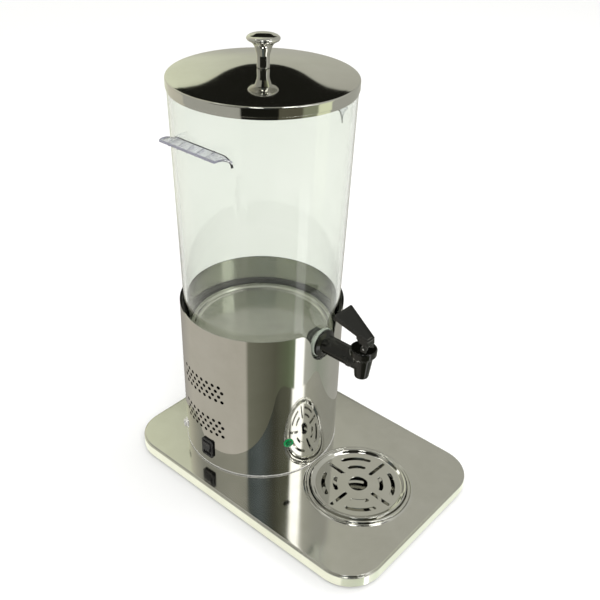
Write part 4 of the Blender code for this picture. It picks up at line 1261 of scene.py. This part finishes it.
class Sky:
    """Nodes that colour the world by the direction of a ray."""

    def __init__(self, tree):
        self.tree = tree
        self.direction = tree.nodes.new("ShaderNodeTexCoord").outputs["Generated"]
        split = tree.nodes.new("ShaderNodeSeparateXYZ")
        self.feed(split.inputs[0], self.direction)
        x, y, self.z = split.outputs
        self.azimuth = self.math("ARCTAN2", y, x)
        self.elevation = self.math("ARCSINE", self.z)

    def feed(self, socket, value):
        """Link a node's output to a socket, or set the socket to a number or a colour."""
        if isinstance(value, bpy.types.NodeSocket):
            self.tree.links.new(value, socket)
        else:
            socket.default_value = (*value, 1) if isinstance(value, tuple) else value

    def math(self, operation, *values):
        node = self.tree.nodes.new("ShaderNodeMath")
        node.operation = operation
        for socket, value in zip(node.inputs, values):
            self.feed(socket, value)
        return node.outputs[0]

    def rise(self, value, low, high):
        """Smoothly from 0 at low to 1 at high."""
        node = self.tree.nodes.new("ShaderNodeMapRange")
        node.interpolation_type = "SMOOTHSTEP"
        for socket, number in (("From Min", low), ("From Max", high), ("Value", value)):
            self.feed(node.inputs[socket], number)
        return node.outputs["Result"]

    def fall(self, value, low, high):
        return self.math("SUBTRACT", 1.0, self.rise(value, low, high))

    def mix(self, share, a, b):
        node = self.tree.nodes.new("ShaderNodeMix")
        node.data_type = "RGBA"
        for index, value in ((0, share), (6, a), (7, b)):
            self.feed(node.inputs[index], value)
        return node.outputs[2]

    def bands(self, stops):
        """Colour by azimuth."""
        node = self.tree.nodes.new("ShaderNodeValToRGB")
        elements = node.color_ramp.elements
        for i, (azimuth, color) in enumerate(stops):
            position = (azimuth + 180) / 360
            element = elements[i] if i < 2 else elements.new(position)
            element.position = position
            element.color = (*color, 1)
        self.feed(node.inputs["Fac"], self.math("MULTIPLY_ADD", self.azimuth, 1 / (2 * pi), 0.5))
        return node.outputs["Color"]

    def toward(self, azimuth, elevation):
        """Cosine of the angle between the ray and a direction in degrees."""
        node = self.tree.nodes.new("ShaderNodeVectorMath")
        node.operation = "DOT_PRODUCT"
        flat = cos(radians(elevation))
        node.inputs[1].default_value = (flat * cos(radians(azimuth)), flat * sin(radians(azimuth)),
                                        sin(radians(elevation)))
        self.feed(node.inputs[0], self.direction)
        return node.outputs["Value"]


def panels(sky):
    """A ring of grey, dark and white studio panels, in three heights."""
    low, skirt, high = (sky.bands(stops) for stops in (LOW_BANDS, SKIRT_BANDS, HIGH_BANDS))
    colors = sky.mix(sky.rise(sky.z, -0.50, -0.42), low, skirt)
    return sky.mix(sky.rise(sky.z, 0.05, 0.15), colors, high)


def ceiling(sky, colors):
    """A dark gap in the ceiling behind the object, and a white ring round a grey zenith."""
    aside = sky.math("ABSOLUTE", sky.math("SUBTRACT", sky.azimuth, radians(GAP_AZIMUTH)))
    notch = sky.math("MULTIPLY", sky.rise(aside, radians(1.5), radians(9)), radians(GAP_NOTCH))
    edge = sky.math("ADD", notch, radians(GAP_LOW))
    above = sky.rise(sky.math("SUBTRACT", sky.elevation, edge), 0, radians(0.5))
    below = sky.fall(sky.elevation, radians(GAP_HIGH), radians(GAP_HIGH + 1))
    within = sky.fall(aside, radians(GAP_HALF), radians(GAP_HALF + 1))
    gap = sky.math("MULTIPLY", sky.math("MULTIPLY", above, below), within)
    colors = sky.mix(gap, colors, BLACK_CARD)
    ring = sky.rise(sky.elevation, radians(RING_LOW), radians(RING_LOW + 1))
    zenith = sky.rise(sky.elevation, radians(ZENITH_LOW), radians(ZENITH_LOW + 2))
    return sky.mix(zenith, sky.mix(ring, colors, RING), ZENITH)


def near_cards(sky, colors):
    """Dark cards on the camera's side, one overhead and one at eye height."""
    near = sky.toward(NEAR_AZIMUTH, 0)
    overhead = sky.math("MULTIPLY", sky.rise(near, 0.1, 0.2), sky.rise(sky.z, 0.79, 0.81))
    level = sky.math("MULTIPLY", sky.rise(sky.z, 0.06, 0.10), sky.fall(sky.z, 0.41, 0.44))
    ahead = sky.math("MULTIPLY", sky.rise(near, 0.4, 0.5), level)
    return sky.mix(ahead, sky.mix(overhead, colors, NEAR_CARD), NEAR_CARD)


def small_lamps(sky, colors):
    """Two small bright lamps high up, which only tight curves catch."""
    for azimuth, elevation in ((-150, 66), (-70, 70)):
        spot = sky.rise(sky.toward(azimuth, elevation), cos(radians(6.5)), cos(radians(4.5)))
        colors = sky.mix(spot, colors, SMALL_LAMP)
    return colors


def world():
    """Soft even light, and for reflections a studio of panels."""
    made = bpy.data.worlds.new("studio")
    bpy.context.scene.world = made
    made.use_nodes = True
    sky = Sky(made.node_tree)
    colors = small_lamps(sky, near_cards(sky, ceiling(sky, panels(sky))))
    path = sky.tree.nodes.new("ShaderNodeLightPath").outputs
    # Behind the clear wall the metal also picks up the light that the wall scatters.
    veil = sky.math("MULTIPLY", path["Is Transmission Ray"], 0.5)
    colors = sky.mix(veil, colors, VEIL)
    # Seen directly, the sky has the tone of the far floor, so that no horizon shows.
    plain = sky.mix(path["Is Diffuse Ray"], FAR_FLOOR, DAYLIGHT)
    mirrored = sky.math("GREATER_THAN", path["Glossy Depth"], 0.5)
    sharp = sky.math("SUBTRACT", 1.0, path["Is Diffuse Ray"])
    background = sky.tree.nodes["Background"]
    sky.feed(background.inputs["Color"], sky.mix(sky.math("MULTIPLY", mirrored, sharp), plain, colors))
    background.inputs["Strength"].default_value = 1.0


def stage_piece(name, data, mat):
    obj = add_object(name, data)
    data.materials.append(mat)
    return obj


def floor():
    mat = Finish("pale_floor", (0.95, 0.95, 0.945), 0.9, Specular_IOR_Level=0.1).mat
    skin = Skin()
    skin.cap([skin.loop(circle(FLOOR_RADIUS, 96), 0)], True)
    stage_piece("floor", skin.mesh("floor"), mat).visible_glossy = False


def light_card():
    """Faint card round the base, which only the tray mirrors."""
    glow = Finish("white_card", CARD_COLOR, 1.0)
    emission = glow.node("Emission")
    emission.inputs["Color"].default_value = (*CARD_COLOR, 1)
    emission.inputs["Strength"].default_value = CARD_STRENGTH
    both = glow.node("AddShader")
    glow.join(emission.outputs[0], both.inputs[0])
    glow.join(glow.node("BsdfTransparent").outputs[0], both.inputs[1])
    glow.join(both.outputs[0], glow.surface)
    skin = Skin()
    edges = [skin.loop(base_outline(inset), CARD_HEIGHT) for inset in (-CARD_REACH, 2)]
    skin.cap(edges)
    card = stage_piece("card_round_base", skin.mesh("card"), glow.mat)
    card.visible_camera = False
    card.visible_diffuse = False
    card.visible_transmission = False
    card.visible_shadow = False
    lit = bpy.data.collections.new("lit_by_the_card")
    lit.objects.link(bpy.data.objects["base_tray_pressing"])
    card.light_linking.receiver_collection = lit


def lamp(name, place, size, power):
    """Soft disc lamp, unseen in mirrors; its place and size are in metres."""
    data = bpy.data.lights.new(name, "AREA")
    data.shape = "DISK"
    data.size = size
    data.energy = power
    obj = add_object(name, data)
    obj.location = place
    obj.rotation_euler = (LAMP_AIM - Vector(place)).to_track_quat("-Z", "Y").to_euler()
    obj.visible_glossy = False
    obj.visible_transmission = False


# The camera, in metres, millimetres of lens and degrees.
CAMERA_PLACE = (-0.606717, -0.496666, 0.754384)
CAMERA_HEADING = -50.065
CAMERA_TILT = 33.821
CAMERA_ROLL = 2.036
CAMERA_LENS = 48.14
CAMERA_SHIFT = (0.001667, 0.028333)


def camera():
    """Above the left front corner, looking down at the tower."""
    heading, tilt, roll = (radians(angle) for angle in (CAMERA_HEADING, CAMERA_TILT, CAMERA_ROLL))
    forward = Vector((-sin(heading) * cos(tilt), cos(heading) * cos(tilt), -sin(tilt)))
    right = Vector((cos(heading), sin(heading), 0))
    up = right.cross(forward)
    right, up = cos(roll) * right + sin(roll) * up, cos(roll) * up - sin(roll) * right
    data = bpy.data.cameras.new("camera")
    data.sensor_width = 36
    data.lens = CAMERA_LENS
    data.shift_x, data.shift_y = CAMERA_SHIFT
    data.clip_start = 0.05
    data.clip_end = 50
    obj = add_object("camera", data)
    turn = Matrix((right, up, -forward)).transposed().to_4x4()
    obj.matrix_world = at(*CAMERA_PLACE) @ turn
    bpy.context.scene.camera = obj


camera()
world()
lamp("key", (-1.2, -1.6, 2.2), 1.6, 26)
lamp("fill", (1.6, -0.6, 1.5), 1.4, 10)
bpy.context.scene.view_settings.view_transform = "Standard"

base_tray()
feet()
drip_cup()
drip_grille()
housing_shell()
switch()
pilot_lamp()
power_inlet()
turned_ring("container_seat_ring", "seat_ring_rubber", SEAT_RUBBER, 0.8, inner=89.5)
turned_ring("insulation_ring", "insulation_foam", FOAM, 0.8, inner=58.6)
turned_ring("cold_plate", "cold_plate_disc", COLD, 0.5)
container_tube()
container_pan()
handle("handle_left", "left", -1)
handle("handle_right", "right", 1)
tap_body()
tap_fixing()
tap_bonnet()
tap_lever()
tap_valve()
tap_spring()
lid()
lid_knob()
carry_over()
floor()
light_card()
